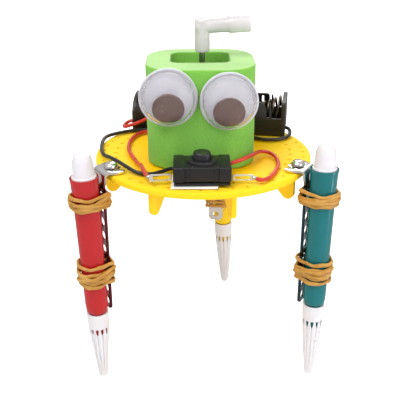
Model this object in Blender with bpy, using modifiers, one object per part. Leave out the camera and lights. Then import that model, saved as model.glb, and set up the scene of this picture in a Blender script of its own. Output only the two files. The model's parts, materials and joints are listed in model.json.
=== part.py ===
# Three-legged drawing robot: a round plastic chassis disc on three felt-tip
# pens, an electric motor held in a foam block, and an eccentric crank that
# shakes the whole body.  Units are metres, +Z up, front of the robot at -Y.
# The floor is z = 0 and the pens stand on their capped tips.
import bpy
import bmesh
import math
from mathutils import Vector, Matrix

MM = 0.001

# ---------------------------------------------------------------- dimensions (mm)
OFFSET_X = -0.09          # moves the footprint centre onto the world origin
OFFSET_Y = -6.39
OFFSET_Z = 0.04           # the leaning tips' lowest edge touches z = 0

DISC_R = 37.7             # chassis disc
DISC_TOP = 78.1
DISC_T = 2.4
FIN_COUNT = 8
FIN_FIRST_DEG = 15.0
FIN_T = 1.8
FIN_DROP = 9.0            # below the underside of the disc
FIN_R_OUT = 35.0
FIN_R_IN = 23.2

FOAM_CX, FOAM_CY = -1.0, -3.0
FOAM_HX, FOAM_HY = 18.0, 15.9
FOAM_CORNER = 10.8
FOAM_BOTTOM, FOAM_TOP = 78.4, 111.7
SLOT_CX, SLOT_CY = -1.1, -0.8
SLOT_HX, SLOT_HY = 9.8, 7.8
POCKET_CX = -0.5
POCKET_HX, POCKET_HY = 10.5, 7.9
POCKET_TOP = 105.2

AXIS_X, AXIS_Y = -0.4, -0.8     # motor and crank axis
CAN_R, CAN_FLAT = 10.05, 7.55   # 20.1 x 15.1 can
CAN_BOTTOM, CAN_TOP = 84.3, 104.8
CAN_WALL = 0.5
SHAFT_R = 1.0
SHAFT_BOTTOM, SHAFT_TOP = 81.0, 117.3

CRANK_TUBE_R = 2.45
CRANK_BOTTOM = 113.6
CRANK_ARM_Z = 121.9
CRANK_RISE = 0.068              # upward slope of the arm
CRANK_END_X = 15.9              # from x = 0
CRANK_END_R = 2.9

EYE_R = 9.35
EYE_BACK_Y = -19.2
EYES = (("left", -11.45, 103.25), ("right", 7.75, 101.9))
PUPIL_R, PUPIL_T = 5.1, 0.9
PUPIL_DROP = 3.05
PUPIL_LEAN_DEG = 12.0

SW_X0, SW_X1 = -10.1, 8.0       # push switch
SW_Y0, SW_Y1 = -34.65, -22.4
SW_BASE_Z, SW_TOP_Z = 79.1, 85.1
BUTTON_TRAVEL = 1.2
BUTTON_TOP = 88.3

HOLD_CX, HOLD_CY = 3.4, 27.4    # battery holder, one AA cell
HOLD_YAW_DEG = -10.0
HOLD_L, HOLD_W = 58.0, 17.0
HOLD_Z = 78.4
HOLD_WALL, HOLD_END = 1.3, 1.5
HOLD_FLOOR = 1.5
HOLD_H_LOW, HOLD_H_HIGH, HOLD_H_END = 6.6, 12.3, 12.7

STRIP_R = 39.7                  # mid-plane of the leg strips
STRIP_T = 0.8
STRIP_W = 6.0
HOLE_R = 1.25
HOLE_PITCH = 5.1
FOOT_W, FOOT_R_IN = 11.0, 32.7
SCREW_R = 35.8

WIRE_R = 0.65

# name, strip angle, strip lower end z, pen tip (x, y), pen rim (x, y, z), cap length,
# side of the disc that the bracket foot is screwed to
LEGS = (
    ("red", 210.4, 27.2, (-37.1, -23.2), (-39.0, -24.0, 78.4), 27.3, "above"),
    ("teal", 330.0, 28.5, (38.0, -23.5), (39.1, -22.2, 78.3), 29.9, "above"),
    ("yellow", 81.2, 32.4, (10.5, 43.9), (7.9, 44.5, 78.3), 29.0, "below"),
)
BAND_UPPER = (66.2, 74.2)
BAND_LOWER = (37.8, 48.4)
BAND_GAP, BAND_T = 0.45, 1.3

# ---------------------------------------------------------------- scene set-up
for old in list(bpy.data.objects):
    bpy.data.objects.remove(old, do_unlink=True)

PARTS = bpy.data.collections.new("drawing_robot")
CUTS = bpy.data.collections.new("cutters")
bpy.context.scene.collection.children.link(PARTS)
bpy.context.scene.collection.children.link(CUTS)

MATS = {}


def material(name, rgb, rough=0.5, metal=0.0, alpha=1.0):
    if name in MATS:
        return MATS[name]
    m = bpy.data.materials.new(name)
    m.use_nodes = True
    b = m.node_tree.nodes["Principled BSDF"]
    b.inputs["Base Color"].default_value = (rgb[0], rgb[1], rgb[2], 1.0)
    b.inputs["Roughness"].default_value = rough
    b.inputs["Metallic"].default_value = metal
    b.inputs["Alpha"].default_value = alpha
    m.diffuse_color = (rgb[0], rgb[1], rgb[2], 1.0)
    MATS[name] = m
    return m


YELLOW = material("yellow_plastic", (0.95, 0.58, 0.01), 0.42)
FOAM = material("green_foam", (0.17, 0.46, 0.07), 0.9)
STEEL = material("motor_steel", (0.55, 0.55, 0.56), 0.3, 1.0)
NICKEL = material("nickel_strip", (0.62, 0.62, 0.64), 0.22, 1.0)
BRASS = material("brass", (0.72, 0.5, 0.2), 0.3, 1.0)
COPPER = material("copper_winding", (0.6, 0.25, 0.1), 0.35, 1.0)
FERRITE = material("ferrite", (0.05, 0.05, 0.055), 0.7)
WHITE = material("white_plastic", (0.8, 0.8, 0.8), 0.4)
MILKY = material("milky_tube", (0.68, 0.68, 0.66), 0.35)
CLEAR = material("clear_dome", (0.85, 0.86, 0.9), 0.08)
BLACK = material("black_plastic", (0.02, 0.02, 0.022), 0.35)
PUPIL = material("pupil_black", (0.03, 0.025, 0.025), 0.2)
HOLDER = material("holder_black", (0.025, 0.018, 0.012), 0.3)
TAPE = material("white_tape", (0.85, 0.8, 0.75), 0.8)
RED_W = material("red_wire", (0.65, 0.02, 0.02), 0.35)
BLACK_W = material("black_wire", (0.02, 0.02, 0.03), 0.35)
BAND = material("rubber_band", (0.5, 0.27, 0.06), 0.55)
FELT = material("felt", (0.7, 0.68, 0.6), 0.95)
PEN_COL = {
    "red": material("pen_red", (0.6, 0.03, 0.035), 0.35),
    "teal": material("pen_teal", (0.02, 0.2, 0.2), 0.35),
    "yellow": material("pen_yellow", (0.75, 0.5, 0.02), 0.35),
}


def place(ob, name, mat, coll=None, smooth_deg=None):
    ob.name = name
    if ob.data:
        ob.data.name = name
        if mat is not None:
            ob.data.materials.clear()
            ob.data.materials.append(mat)
    for c in list(ob.users_collection):
        c.objects.unlink(ob)
    (coll or PARTS).objects.link(ob)
    if smooth_deg is not None and ob.type == "MESH":
        ob.data.shade_smooth()
        ob.data.set_sharp_from_angle(angle=math.radians(smooth_deg))
    return ob


def as_cutter(ob):
    ob.hide_render = True
    ob.display_type = "WIRE"
    return ob


def v3(x, y, z):
    return Vector((x * MM, y * MM, z * MM))


# ---------------------------------------------------------------- shape helpers
def lathe(name, mat, profile, steps, matrix=None, closed=False, coll=None):
    """Turned solid.  The profile is (radius, height) in mm and runs down the outside."""
    me = bpy.data.meshes.new(name)
    verts = [(r * MM, 0.0, z * MM) for r, z in profile]
    edges = [(i, i + 1) for i in range(len(verts) - 1)]
    if closed:
        edges.append((len(verts) - 1, 0))
    me.from_pydata(verts, edges, [])
    ob = bpy.data.objects.new(name, me)
    place(ob, name, mat, coll)
    m = ob.modifiers.new("turn", "SCREW")
    m.axis = "Z"
    m.angle = math.tau
    m.steps = steps
    m.render_steps = steps
    m.use_merge_vertices = True
    m.merge_threshold = 0.00001
    m.use_smooth_shade = True
    if matrix is not None:
        ob.matrix_world = matrix
    return ob


def bake(ob):
    """Replace an object by the mesh that its curve or modifiers make."""
    dg = bpy.context.evaluated_depsgraph_get()
    dg.update()
    me = bpy.data.meshes.new_from_object(ob.evaluated_get(dg))
    bm = bmesh.new()
    bm.from_mesh(me)
    bmesh.ops.remove_doubles(bm, verts=bm.verts, dist=0.000005)
    bmesh.ops.recalc_face_normals(bm, faces=bm.faces)
    bm.to_mesh(me)
    bm.free()
    new = bpy.data.objects.new(ob.name + "_m", me)
    new.matrix_world = ob.matrix_world.copy()
    for c in ob.users_collection:
        c.objects.link(new)
    name = ob.name
    bpy.data.objects.remove(ob, do_unlink=True)
    new.name = name
    me.name = name
    return new


def outline_plate(name, mat, loops, z0, z1, matrix=None, coll=None):
    """Flat plate from closed 2D outlines (mm), extruded from z0 to z1."""
    cu = bpy.data.curves.new(name, "CURVE")
    cu.dimensions = "2D"
    cu.fill_mode = "BOTH"
    for loop in loops:
        sp = cu.splines.new("POLY")
        sp.points.add(len(loop) - 1)
        for p, (x, y) in zip(sp.points, loop):
            p.co = (x * MM, y * MM, 0.0, 1.0)
        sp.use_cyclic_u = True
    cu.extrude = (z1 - z0) * MM / 2
    ob = bpy.data.objects.new(name, cu)
    place(ob, name, mat, coll)
    lift = Matrix.Translation((0, 0, (z0 + z1) * MM / 2))
    ob.matrix_world = (matrix @ lift) if matrix is not None else lift
    return ob


def tube(name, mat, pts, radius, res=2, radii=None, coll=None):
    cu = bpy.data.curves.new(name, "CURVE")
    cu.dimensions = "3D"
    cu.bevel_depth = radius * MM
    cu.bevel_resolution = res
    cu.use_fill_caps = True
    sp = cu.splines.new("POLY")
    sp.points.add(len(pts) - 1)
    for i, (p, q) in enumerate(zip(sp.points, pts)):
        p.co = (q[0] * MM, q[1] * MM, q[2] * MM, 1.0)
        p.radius = radii[i] if radii else 1.0
    ob = bpy.data.objects.new(name, cu)
    return place(ob, name, mat, coll)


def box(name, mat, x0, x1, y0, y1, z0, z1, bevel=0.0, matrix=None, coll=None):
    bpy.ops.mesh.primitive_cube_add(size=1.0)
    ob = bpy.context.active_object
    ob.data.transform(Matrix.Diagonal(((x1 - x0) * MM, (y1 - y0) * MM, (z1 - z0) * MM, 1.0)))
    ob.data.transform(Matrix.Translation(v3((x0 + x1) / 2, (y0 + y1) / 2, (z0 + z1) / 2)))
    place(ob, name, mat, coll)
    if bevel:
        m = ob.modifiers.new("edge", "BEVEL")
        m.width = bevel * MM
        m.segments = 2
        m.limit_method = "ANGLE"
    if matrix is not None:
        ob.matrix_world = matrix
    return ob


def cylinder(name, mat, r, z0, z1, n=16, matrix=None, coll=None):
    bpy.ops.mesh.primitive_cylinder_add(vertices=n, radius=r * MM, depth=(z1 - z0) * MM)
    ob = bpy.context.active_object
    ob.data.transform(Matrix.Translation(v3(0, 0, (z0 + z1) / 2)))
    place(ob, name, mat, coll, 40)
    if matrix is not None:
        ob.matrix_world = matrix
    return ob


def boolean(ob, cutter, op="DIFFERENCE"):
    m = ob.modifiers.new(op.lower(), "BOOLEAN")
    m.operation = op
    m.object = cutter
    m.solver = "EXACT"
    as_cutter(cutter)
    return m


def ring_points(cx, cy, r, n, a0=0.0, a1=math.tau, end=False):
    k = n - 1 if end else n
    return [(cx + r * math.cos(a0 + (a1 - a0) * i / k), cy + r * math.sin(a0 + (a1 - a0) * i / k)) for i in range(n)]


def rounded_rect(cx, cy, hx, hy, r, n=5):
    pts = []
    for sx, sy, a in ((1, 1, 0), (-1, 1, 90), (-1, -1, 180), (1, -1, 270)):
        pts += ring_points(cx + sx * (hx - r), cy + sy * (hy - r), r, n,
                           math.radians(a), math.radians(a + 90), end=True)
    return pts


def double_d(cx, cy, r, flat, n=8):
    """Circle of radius r cut by two flats at y = +-flat."""
    a = math.asin(flat / r)
    right = ring_points(cx, cy, r, n, -a, a, end=True)
    left = ring_points(cx, cy, r, n, math.pi - a, math.pi + a, end=True)
    return right + left


def hull(points):
    pts = sorted(set((round(x, 5), round(y, 5)) for x, y in points))

    def half(seq):
        out = []
        for p in seq:
            while len(out) > 1 and ((out[-1][0] - out[-2][0]) * (p[1] - out[-2][1])
                                    - (out[-1][1] - out[-2][1]) * (p[0] - out[-2][0])) <= 1e-6:
                out.pop()
            out.append(p)
        return out[:-1]
    return half(pts) + half(reversed(pts))


def smooth_path(ctrl, step):
    """Points every `step` mm along a Catmull-Rom curve through the control points."""
    dense = []
    n = len(ctrl)
    for i in range(n - 1):
        p0 = Vector(ctrl[max(i - 1, 0)])
        p1 = Vector(ctrl[i])
        p2 = Vector(ctrl[i + 1])
        p3 = Vector(ctrl[min(i + 2, n - 1)])
        d1 = max((p1 - p0).length, 1e-6) ** 0.5
        d2 = max((p2 - p1).length, 1e-6) ** 0.5
        d3 = max((p3 - p2).length, 1e-6) ** 0.5
        t1 = (p2 - p0) * (d2 / (d1 + d2)) if i > 0 else (p2 - p1)
        t2 = (p3 - p1) * (d2 / (d2 + d3)) if i < n - 2 else (p2 - p1)
        for k in range(24):
            t = k / 24.0
            h00 = 2 * t ** 3 - 3 * t ** 2 + 1
            h10 = t ** 3 - 2 * t ** 2 + t
            h01 = -2 * t ** 3 + 3 * t ** 2
            h11 = t ** 3 - t ** 2
            dense.append(p1 * h00 + t1 * h10 + p2 * h01 + t2 * h11)
    dense.append(Vector(ctrl[-1]))
    length = sum((b - a).length for a, b in zip(dense, dense[1:]))
    count = max(2, round(length / step))
    out, walked, want, k = [dense[0]], 0.0, length / count, 1
    for a, b in zip(dense, dense[1:]):
        seg = (b - a).length
        while walked + seg >= want * k - 1e-9 and k < count:
            out.append(a + (b - a) * ((want * k - walked) / max(seg, 1e-9)))
            k += 1
        walked += seg
    out.append(dense[-1])
    return out


def at(x, y, z, rot=None):
    m = Matrix.Translation(v3(x, y, z))
    return m @ rot if rot is not None else m


def polar(r, deg, z=0.0):
    a = math.radians(deg)
    return Vector((r * math.cos(a), r * math.sin(a), z))


# ---------------------------------------------------------------- chassis disc
zb = DISC_TOP - DISC_T
disc = lathe("chassis_disc", YELLOW, [
    (0, DISC_TOP), (DISC_R - 0.9, DISC_TOP), (DISC_R - 0.25, DISC_TOP - 0.25), (DISC_R, DISC_TOP - 0.9),
    (DISC_R, zb + 0.3), (DISC_R - 0.3, zb), (0, zb)], 64)
disc = bake(disc)
for k in range(FIN_COUNT):
    ang = FIN_FIRST_DEG + 360.0 / FIN_COUNT * k
    tip_r, tip_c = 2.4, (FIN_R_OUT - 2.4, zb - FIN_DROP + 2.4)
    fin = [(FIN_R_IN, zb + 0.6), (FIN_R_IN, zb - 0.2)]
    fin += ring_points(tip_c[0], tip_c[1], tip_r, 7, math.radians(218), math.radians(360), end=True)
    fin += [(FIN_R_OUT, zb + 0.6)]
    rot = Matrix.Rotation(math.radians(ang), 4, "Z") @ Matrix.Rotation(math.radians(90), 4, "X")
    f = outline_plate("fin_%d" % k, YELLOW, [fin], -FIN_T / 2, FIN_T / 2, rot, CUTS)
    f = bake(f)
    boolean(disc, f, "UNION")
for name, ang, *_ in LEGS:
    c = cylinder("disc_screw_hole_" + name, None, 1.2, zb - 2, DISC_TOP + 2, 12,
                 Matrix.Translation(polar(SCREW_R, ang) * MM), CUTS)
    boolean(disc, c)
place(disc, "chassis_disc", YELLOW, PARTS, 35)

# ---------------------------------------------------------------- foam block round the motor
foam = outline_plate("foam_body", FOAM, [
    rounded_rect(FOAM_CX, FOAM_CY, FOAM_HX, FOAM_HY, FOAM_CORNER, 9),
    rounded_rect(SLOT_CX, SLOT_CY, SLOT_HX, SLOT_HY, 3.4, 4)], FOAM_BOTTOM, FOAM_TOP)
foam = bake(foam)
pocket = bake(outline_plate("motor_pocket", None, [
    rounded_rect(POCKET_CX, SLOT_CY, POCKET_HX, POCKET_HY, 2.2, 3)], FOAM_BOTTOM - 1, POCKET_TOP, None, CUTS))
boolean(foam, pocket)
for side, px in (("left", -6.6), ("right", 5.8)):
    notch = box("wire_notch_" + side, None, px - 1.3, px + 1.3, FOAM_CY - FOAM_HY - 1, SLOT_CY - POCKET_HY + 1,
                FOAM_BOTTOM - 1, FOAM_BOTTOM + 2.4, 0.0, None, CUTS)
    boolean(foam, notch)
place(foam, "foam_body", FOAM, PARTS, 35)

# ---------------------------------------------------------------- motor
AX = Matrix.Translation(v3(AXIS_X, AXIS_Y, 0))
can = bake(outline_plate("motor_can", STEEL, [double_d(0, 0, CAN_R, CAN_FLAT)], CAN_BOTTOM, CAN_TOP, AX))
can_in = bake(outline_plate("can_cavity", None, [double_d(0, 0, CAN_R - CAN_WALL, CAN_FLAT - CAN_WALL)],
                            CAN_BOTTOM - 1, CAN_TOP - 0.6, AX, CUTS))
can_hole = cylinder("can_bush_hole", None, 2.3, CAN_TOP - 2, CAN_TOP + 1, 16, AX, CUTS)
boolean(can, can_in)
boolean(can, can_hole)
place(can, "motor_can", STEEL, PARTS, 35)

outline_plate("motor_end_cap", WHITE, [double_d(0, 0, CAN_R, CAN_FLAT), ring_points(0, 0, 1.5, 14)],
              81.3, CAN_BOTTOM - 0.3, AX)
lathe("motor_bushing", BRASS, [(1.3, 106.4), (3.05, 106.4), (3.05, 105.1), (1.95, 105.1), (1.95, 103.4),
                               (1.3, 103.4)], 20, AX, closed=True)
for side, a in (("right", 0.0), ("left", math.pi)):
    outer = ring_points(0, 0, 9.2, 7, a - 0.72, a + 0.72, end=True)
    inner = ring_points(0, 0, 7.2, 7, a + 0.72, a - 0.72, end=True)
    outline_plate("motor_magnet_" + side, FERRITE, [outer + inner], 87.0, 101.5, AX)
lathe("motor_armature", COPPER, [(1.3, 100.2), (4.6, 100.2), (6.4, 98.8), (6.7, 97.6), (6.7, 90.4), (6.4, 89.2),
                                 (4.6, 87.8), (2.4, 87.8), (2.4, 84.9), (1.3, 84.9)], 20, AX, closed=True)
cylinder("motor_shaft", STEEL, SHAFT_R, SHAFT_BOTTOM, SHAFT_TOP, 16, AX)
for side, px in (("left", -6.6), ("right", 5.8)):
    box("motor_terminal_" + side, BRASS, px - 1.0, px + 1.0, -5.2, -4.7, 79.0, 81.0)

def set_origin(ob, x, y, z):
    """Move an object's origin without moving its mesh."""
    goal = Matrix.Translation(v3(x, y, z))
    ob.data.transform(goal.inverted() @ ob.matrix_world)
    ob.matrix_world = goal


# ---------------------------------------------------------------- crank on the motor shaft
CX, CY = AXIS_X + 0.1, AXIS_Y
path, radii = [], []
bend_r = 2.3
zc = CRANK_ARM_Z - bend_r
path.append((CX, CY, CRANK_BOTTOM))
radii.append(1.0)
path.append((CX, CY, zc - 1.6))
radii.append(1.0)
for i in range(6):
    a = math.radians(90.0 * i / 5)
    path.append((CX + bend_r * (1 - math.cos(a)), CY, zc + bend_r * math.sin(a)))
    radii.append(1.04)
x_start = CX + bend_r
for x in (x_start + 3.2, 7.6, 9.2, 11.0, 14.6, CRANK_END_X):
    path.append((x, CY, CRANK_ARM_Z + CRANK_RISE * (x - x_start)))
    radii.append(1.02 if x < 8.0 else CRANK_END_R / CRANK_TUBE_R * (0.97 if x > 15 else 1.0))
elbow = bake(tube("crank_elbow", MILKY, path, CRANK_TUBE_R, 4, radii))
set_origin(elbow, AXIS_X, AXIS_Y, 0)
bore = cylinder("crank_bore", None, SHAFT_R + 0.3, CRANK_BOTTOM - 1, SHAFT_TOP + 0.3, 16,
                Matrix.Translation(v3(AXIS_X, AXIS_Y, 0)), CUTS)
boolean(elbow, bore)
arm_rot = Matrix.Rotation(math.radians(90) - math.atan(CRANK_RISE), 4, "Y")
arm_at = v3(7.9, CY, CRANK_ARM_Z + CRANK_RISE * (7.9 - x_start))
weight_bore = cylinder("crank_weight_bore", None, 1.9, 0.0, 12.0, 14, Matrix.Translation(arm_at) @ arm_rot, CUTS)
boolean(elbow, weight_bore)
place(elbow, "crank_elbow", MILKY, PARTS, 50)
weight = cylinder("crank_end_weight", STEEL, 1.6, 0.4, 7.6, 14, Matrix.Translation(arm_at) @ arm_rot)
set_origin(weight, AXIS_X, AXIS_Y, 0)

# ---------------------------------------------------------------- eyes
FACE = Matrix.Rotation(math.radians(90), 4, "X")      # local +Z looks along -Y
for side, ex, ez in EYES:
    base = at(ex, EYE_BACK_Y, ez, FACE)
    lathe("eye_%s_back" % side, WHITE, [(0, 0.8), (EYE_R, 0.8), (EYE_R, 0.0), (0, 0.0)], 32, base)
    dome = [(0, 6.3), (3.0, 6.1), (5.6, 5.45), (7.6, 4.2), (8.6, 2.9), (8.85, 1.8), (EYE_R, 1.75), (EYE_R, 1.1),
            (8.3, 1.1), (8.25, 2.7), (7.2, 3.9), (5.3, 4.95), (2.9, 5.6), (0, 5.8)]
    lathe("eye_%s_dome" % side, CLEAR, dome, 28, base)
    lean = Matrix.Rotation(math.radians(-PUPIL_LEAN_DEG), 4, "X")
    pup = cylinder("eye_%s_pupil" % side, PUPIL, PUPIL_R, -PUPIL_T / 2, PUPIL_T / 2, 24, None)
    pup.data.transform(Matrix.Translation(v3(0, -PUPIL_DROP, 1.1 + 0.2 + PUPIL_T / 2
                                             + PUPIL_R * math.sin(math.radians(PUPIL_LEAN_DEG))))
                       @ Matrix.Rotation(math.radians(PUPIL_LEAN_DEG), 4, "X"))
    pup.matrix_world = base

# ---------------------------------------------------------------- push switch
SCX, SCY = (SW_X0 + SW_X1) / 2, (SW_Y0 + SW_Y1) / 2
box("switch_base", BLACK, SW_X0 + 0.3, SW_X1 - 0.3, SW_Y0 + 0.3, SW_Y1 - 0.3, SW_BASE_Z, SW_BASE_Z + 0.8)
case = box("switch_case", BLACK, SW_X0, SW_X1, SW_Y0, SW_Y1, SW_BASE_Z + 1.1, SW_TOP_Z)
collar = cylinder("switch_collar", None, 4.75, SW_TOP_Z - 0.4, SW_TOP_Z + 1.0, 24, at(SCX, SCY, 0), CUTS)
boolean(case, collar, "UNION")
cav = box("switch_cavity", None, SW_X0 + 1.0, SW_X1 - 1.0, SW_Y0 + 1.0, SW_Y1 - 1.0, SW_BASE_Z, SW_TOP_Z - 0.8,
          0.0, None, CUTS)
boolean(case, cav)
sh = cylinder("switch_top_hole", None, 3.15, SW_TOP_Z - 2, SW_TOP_Z + 3, 20, at(SCX, SCY, 0), CUTS)
boolean(case, sh)
place(case, "switch_case", BLACK, PARTS, 35)
lathe("switch_button", BLACK, [(0, BUTTON_TOP), (2.3, BUTTON_TOP), (2.75, BUTTON_TOP - 0.4),
                               (2.85, BUTTON_TOP - 1.0), (2.85, 84.0), (3.9, 84.0), (3.9, 83.1), (1.9, 83.1),
                               (1.9, 82.2), (0, 82.2)], 20, at(SCX, SCY, 0))
lathe("switch_contact", BRASS, [(0, 81.9), (2.1, 81.9), (2.1, 81.5), (0, 81.5)], 14, at(SCX, SCY, 0))
coil = []
turns, pitch_z0, pitch_z1, coil_r, coil_w = 2.25, 80.5, 82.5, 3.1, 0.25
n = 20
for i in range(n + 1):
    a = math.tau * turns * i / n
    coil.append((SCX + coil_r * math.cos(a), SCY + coil_r * math.sin(a), pitch_z0 + (pitch_z1 - pitch_z0) * i / n))
tube("switch_spring", STEEL, coil, coil_w, 2)
for side, x0, x1, tilt, z0, dz in (("left", -17.6, -10.6, 7.0, 79.4, 2.4), ("right", 8.5, 15.2, -1.0, 79.3, 2.1)):
    cx, hx = (x0 + x1) / 2, (x1 - x0) / 2
    m = at(cx, -30.9, z0 + dz / 2, Matrix.Rotation(math.radians(tilt), 4, "Z") @ Matrix.Rotation(math.radians(90), 4, "X"))
    outer = rounded_rect(0, 0, hx, dz / 2, 0.6, 3)
    inner = rounded_rect(0.25 if side == "left" else -0.25, 0, hx - 1.2, dz / 2 - 0.6, 0.35, 3)
    outline_plate("switch_lug_" + side, NICKEL, [outer, inner], -0.22, 0.22, m)
box("switch_tape_pad", TAPE, -7.3, 7.3, -5.6, 5.6, 78.4, 78.8, 0.0,
    at(-3.3, -29.8, 0, Matrix.Rotation(math.radians(-1.6), 4, "Z")))

# ---------------------------------------------------------------- battery holder
HM = at(HOLD_CX, HOLD_CY, HOLD_Z, Matrix.Rotation(math.radians(HOLD_YAW_DEG), 4, "Z"))
hl, hw = HOLD_L / 2, HOLD_W / 2
holder = box("battery_holder", HOLDER, -hl, hl, -hw, hw, 0, HOLD_H_END, 0.0, HM)
cell = box("holder_bay", None, -hl + HOLD_END, hl - HOLD_END, -hw + HOLD_WALL, hw - HOLD_WALL, HOLD_FLOOR,
           HOLD_H_END + 2, 0.0, HM, CUTS)
boolean(holder, cell)
for s in (-1, 1):
    low = box("holder_low_%d" % (s + 2), None, s * (hl - 3.4) - 1.9, s * (hl - 3.4) + 1.9, -hw - 1, hw + 1,
              HOLD_H_LOW, HOLD_H_END + 2, 0.0, HM, CUTS)
    boolean(holder, low)
    slit = box("holder_slit_%d" % (s + 2), None, s * (hl - 6.1) - 0.4, s * (hl - 6.1) + 0.4, -hw - 1, hw + 1,
               HOLD_H_LOW, HOLD_H_END + 2, 0.0, HM, CUTS)
    boolean(holder, slit)
    exit_hole = cylinder("holder_wire_hole_%d" % (s + 2), None, 1.1, -4, 4, 12,
                         HM @ Matrix.Translation(v3(s * hl, -hw + 3.2, 2.6)) @ Matrix.Rotation(math.radians(90), 4, "Y"),
                         CUTS)
    boolean(holder, exit_hole)
top_trim = box("holder_top_trim", None, -hl + 6.6, hl - 6.6, -hw - 1, hw + 1, HOLD_H_HIGH, HOLD_H_END + 2, 0.0, HM, CUTS)
boolean(holder, top_trim)
place(holder, "battery_holder", HOLDER, PARTS, 35)

spring = []
n = 40
for i in range(n + 1):
    t = i / n
    a = math.tau * 3.25 * t
    r = 5.3 - 2.7 * t
    spring.append(HM @ v3(hl - HOLD_END - 0.9 - 6.6 * t, r * math.cos(a), 7.7 + r * math.sin(a)))
tube("battery_spring", STEEL, [(p.x / MM, p.y / MM, p.z / MM) for p in spring], 0.4, 2)
contact = bake(box("battery_contact", BRASS, -hl + HOLD_END + 0.3, -hl + HOLD_END + 0.75, -4.6, 4.6, 1.9, 11.4, 0.0, HM))
nub = lathe("contact_nub", None, [(0, 1.1), (1.6, 1.1), (2.3, 0.4), (2.3, -0.2), (0, -0.2)], 14,
            HM @ Matrix.Translation(v3(-hl + HOLD_END + 0.6, 0, 7.7)) @ Matrix.Rotation(math.radians(90), 4, "Y"), coll=CUTS)
boolean(contact, bake(nub), "UNION")
place(contact, "battery_contact", BRASS, PARTS, 35)

# ---------------------------------------------------------------- legs
for name, ang, z_end, tip, rim, cap_len, side in LEGS:
    # bracket: a perforated strip bent over the rim, with a wide foot on the disc
    up = Matrix.Rotation(math.radians(ang), 4, "Z")
    # vertical plate, drawn as (across, height) and stood on edge facing outwards
    stand = up @ Matrix.Translation(v3(STRIP_R, 0, 0)) @ Matrix.Rotation(math.radians(90), 4, "Z") \
        @ Matrix.Rotation(math.radians(90), 4, "X")
    top_z = DISC_TOP + 0.3 + STRIP_T if side == "above" else zb - 0.3
    w = STRIP_W / 2
    fw = FOOT_W / 2
    plate = [(fw, top_z), (-fw, top_z), (-fw, top_z - 2.6), (-w, top_z - 4.6), (-w, z_end + 1.2)]
    plate += [(-w + 1.2, z_end), (w - 1.2, z_end), (w, z_end + 1.2), (w, top_z - 4.6), (fw, top_z - 2.6)]
    holes = []
    z = z_end + 2.7
    while z < top_z - 4.0:
        holes.append(ring_points(0, z, HOLE_R, 10))
        z += HOLE_PITCH
    br = bake(outline_plate("bracket_" + name, NICKEL, [plate] + holes, -STRIP_T / 2, STRIP_T / 2, stand))
    foot_loop = [(STRIP_R, -fw), (STRIP_R, fw), (FOOT_R_IN, fw)]
    for c in (2.75, -2.75):
        foot_loop += [(FOOT_R_IN + 1.1 * math.sin(math.radians(a)), c + 1.1 * math.cos(math.radians(a)))
                      for a in (0, 45, 90, 135, 180)]
    foot_loop += [(FOOT_R_IN, -fw)]
    foot = bake(outline_plate("foot_" + name, NICKEL, [foot_loop, ring_points(SCREW_R, 0, 1.25, 12)],
                              top_z - STRIP_T, top_z, up, CUTS))
    boolean(br, foot, "UNION")
    place(br, "bracket_" + name, NICKEL, PARTS, 35)

    # pen: all its pieces share one frame with its origin at the capped tip
    p0 = Vector((tip[0], tip[1], 0.0))
    p1 = Vector(rim)
    axis = (p1 - p0).normalized()
    length = (p1 - p0).length
    frame = Matrix.Translation(p0 * MM) @ axis.to_track_quat("Z", "Y").to_matrix().to_4x4()
    L, T = cap_len, length
    lathe("pen_barrel_" + name, PEN_COL[name], [
        (4.25, T), (4.8, T), (4.6, T - 1.2), (4.35, T - 9), (3.95, L + 4), (3.75, L + 0.9), (3.4, L + 0.3),
        (2.8, L + 0.3), (2.7, L - 6), (1.75, L - 11), (1.5, L - 15), (1.2, L - 15), (1.2, L + 2.0), (3.1, L + 2.6),
        (3.4, T - 8), (4.2, T - 2.0)], 20, frame, closed=True)
    lathe("pen_cap_" + name, WHITE, [
        (0, 1.8), (0.8, 2.2), (1.3, 7), (2.2, 14), (3.05, L - 7), (3.2, L), (3.85, L), (3.8, L - 3),
        (3.45, L - 9), (3.0, 14), (2.3, 7), (1.75, 1.2), (1.2, 0.0), (0, 0.0)][::1], 20, frame)
    lathe("pen_nib_" + name, FELT, [(0, L + 1.7), (0.9, L + 1.7), (0.9, 9.5), (0.35, 6.5), (0, 6.3)], 12, frame)
    lathe("pen_reservoir_" + name, FELT, [(0, T - 9), (2.7, T - 9), (2.7, L + 3.0), (0, L + 3.0)], 14, frame)
    lathe("pen_plug_" + name, WHITE, [
        (0, T + 8.3), (1.6, T + 8.1), (2.8, T + 7.0), (3.4, T + 4.8), (3.6, T + 0.9), (3.95, T + 0.7),
        (3.95, T - 1.2), (3.1, T - 1.5), (3.0, T - 7.0), (0, T - 7.0)], 18, frame)

    # rubber bands round the barrel and the strip
    out = Vector((math.cos(math.radians(ang)), math.sin(math.radians(ang)), 0))
    tan = Vector((-out.y, out.x, 0))
    for label, (z0, z1) in (("upper", BAND_UPPER), ("lower", BAND_LOWER)):
        drop = max(0.0, z1 - (top_z - 4.9))        # stays below the strip's shoulders
        z0, z1 = z0 - drop, z1 - drop
        zm = (z0 + z1) / 2
        c = p0 + (p1 - p0) * (zm / p1.z)
        s = zm / p1.z * length
        pr = 3.95 + (4.35 - 3.95) * (s - L - 4) / (T - 9 - L - 4)
        corners = [out * (STRIP_R + a) + tan * b for a in (-STRIP_T / 2, STRIP_T / 2) for b in (-w, w)]
        loops = []
        for g in (BAND_GAP, BAND_GAP + BAND_T):
            cloud = ring_points(c.x, c.y, pr + g, 20)
            for q in corners:
                cloud += ring_points(q.x, q.y, g, 12)
            loops.append(hull(cloud))
        outline_plate("band_%s_%s" % (name, label), BAND, loops[::-1], z0, z1)

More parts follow.
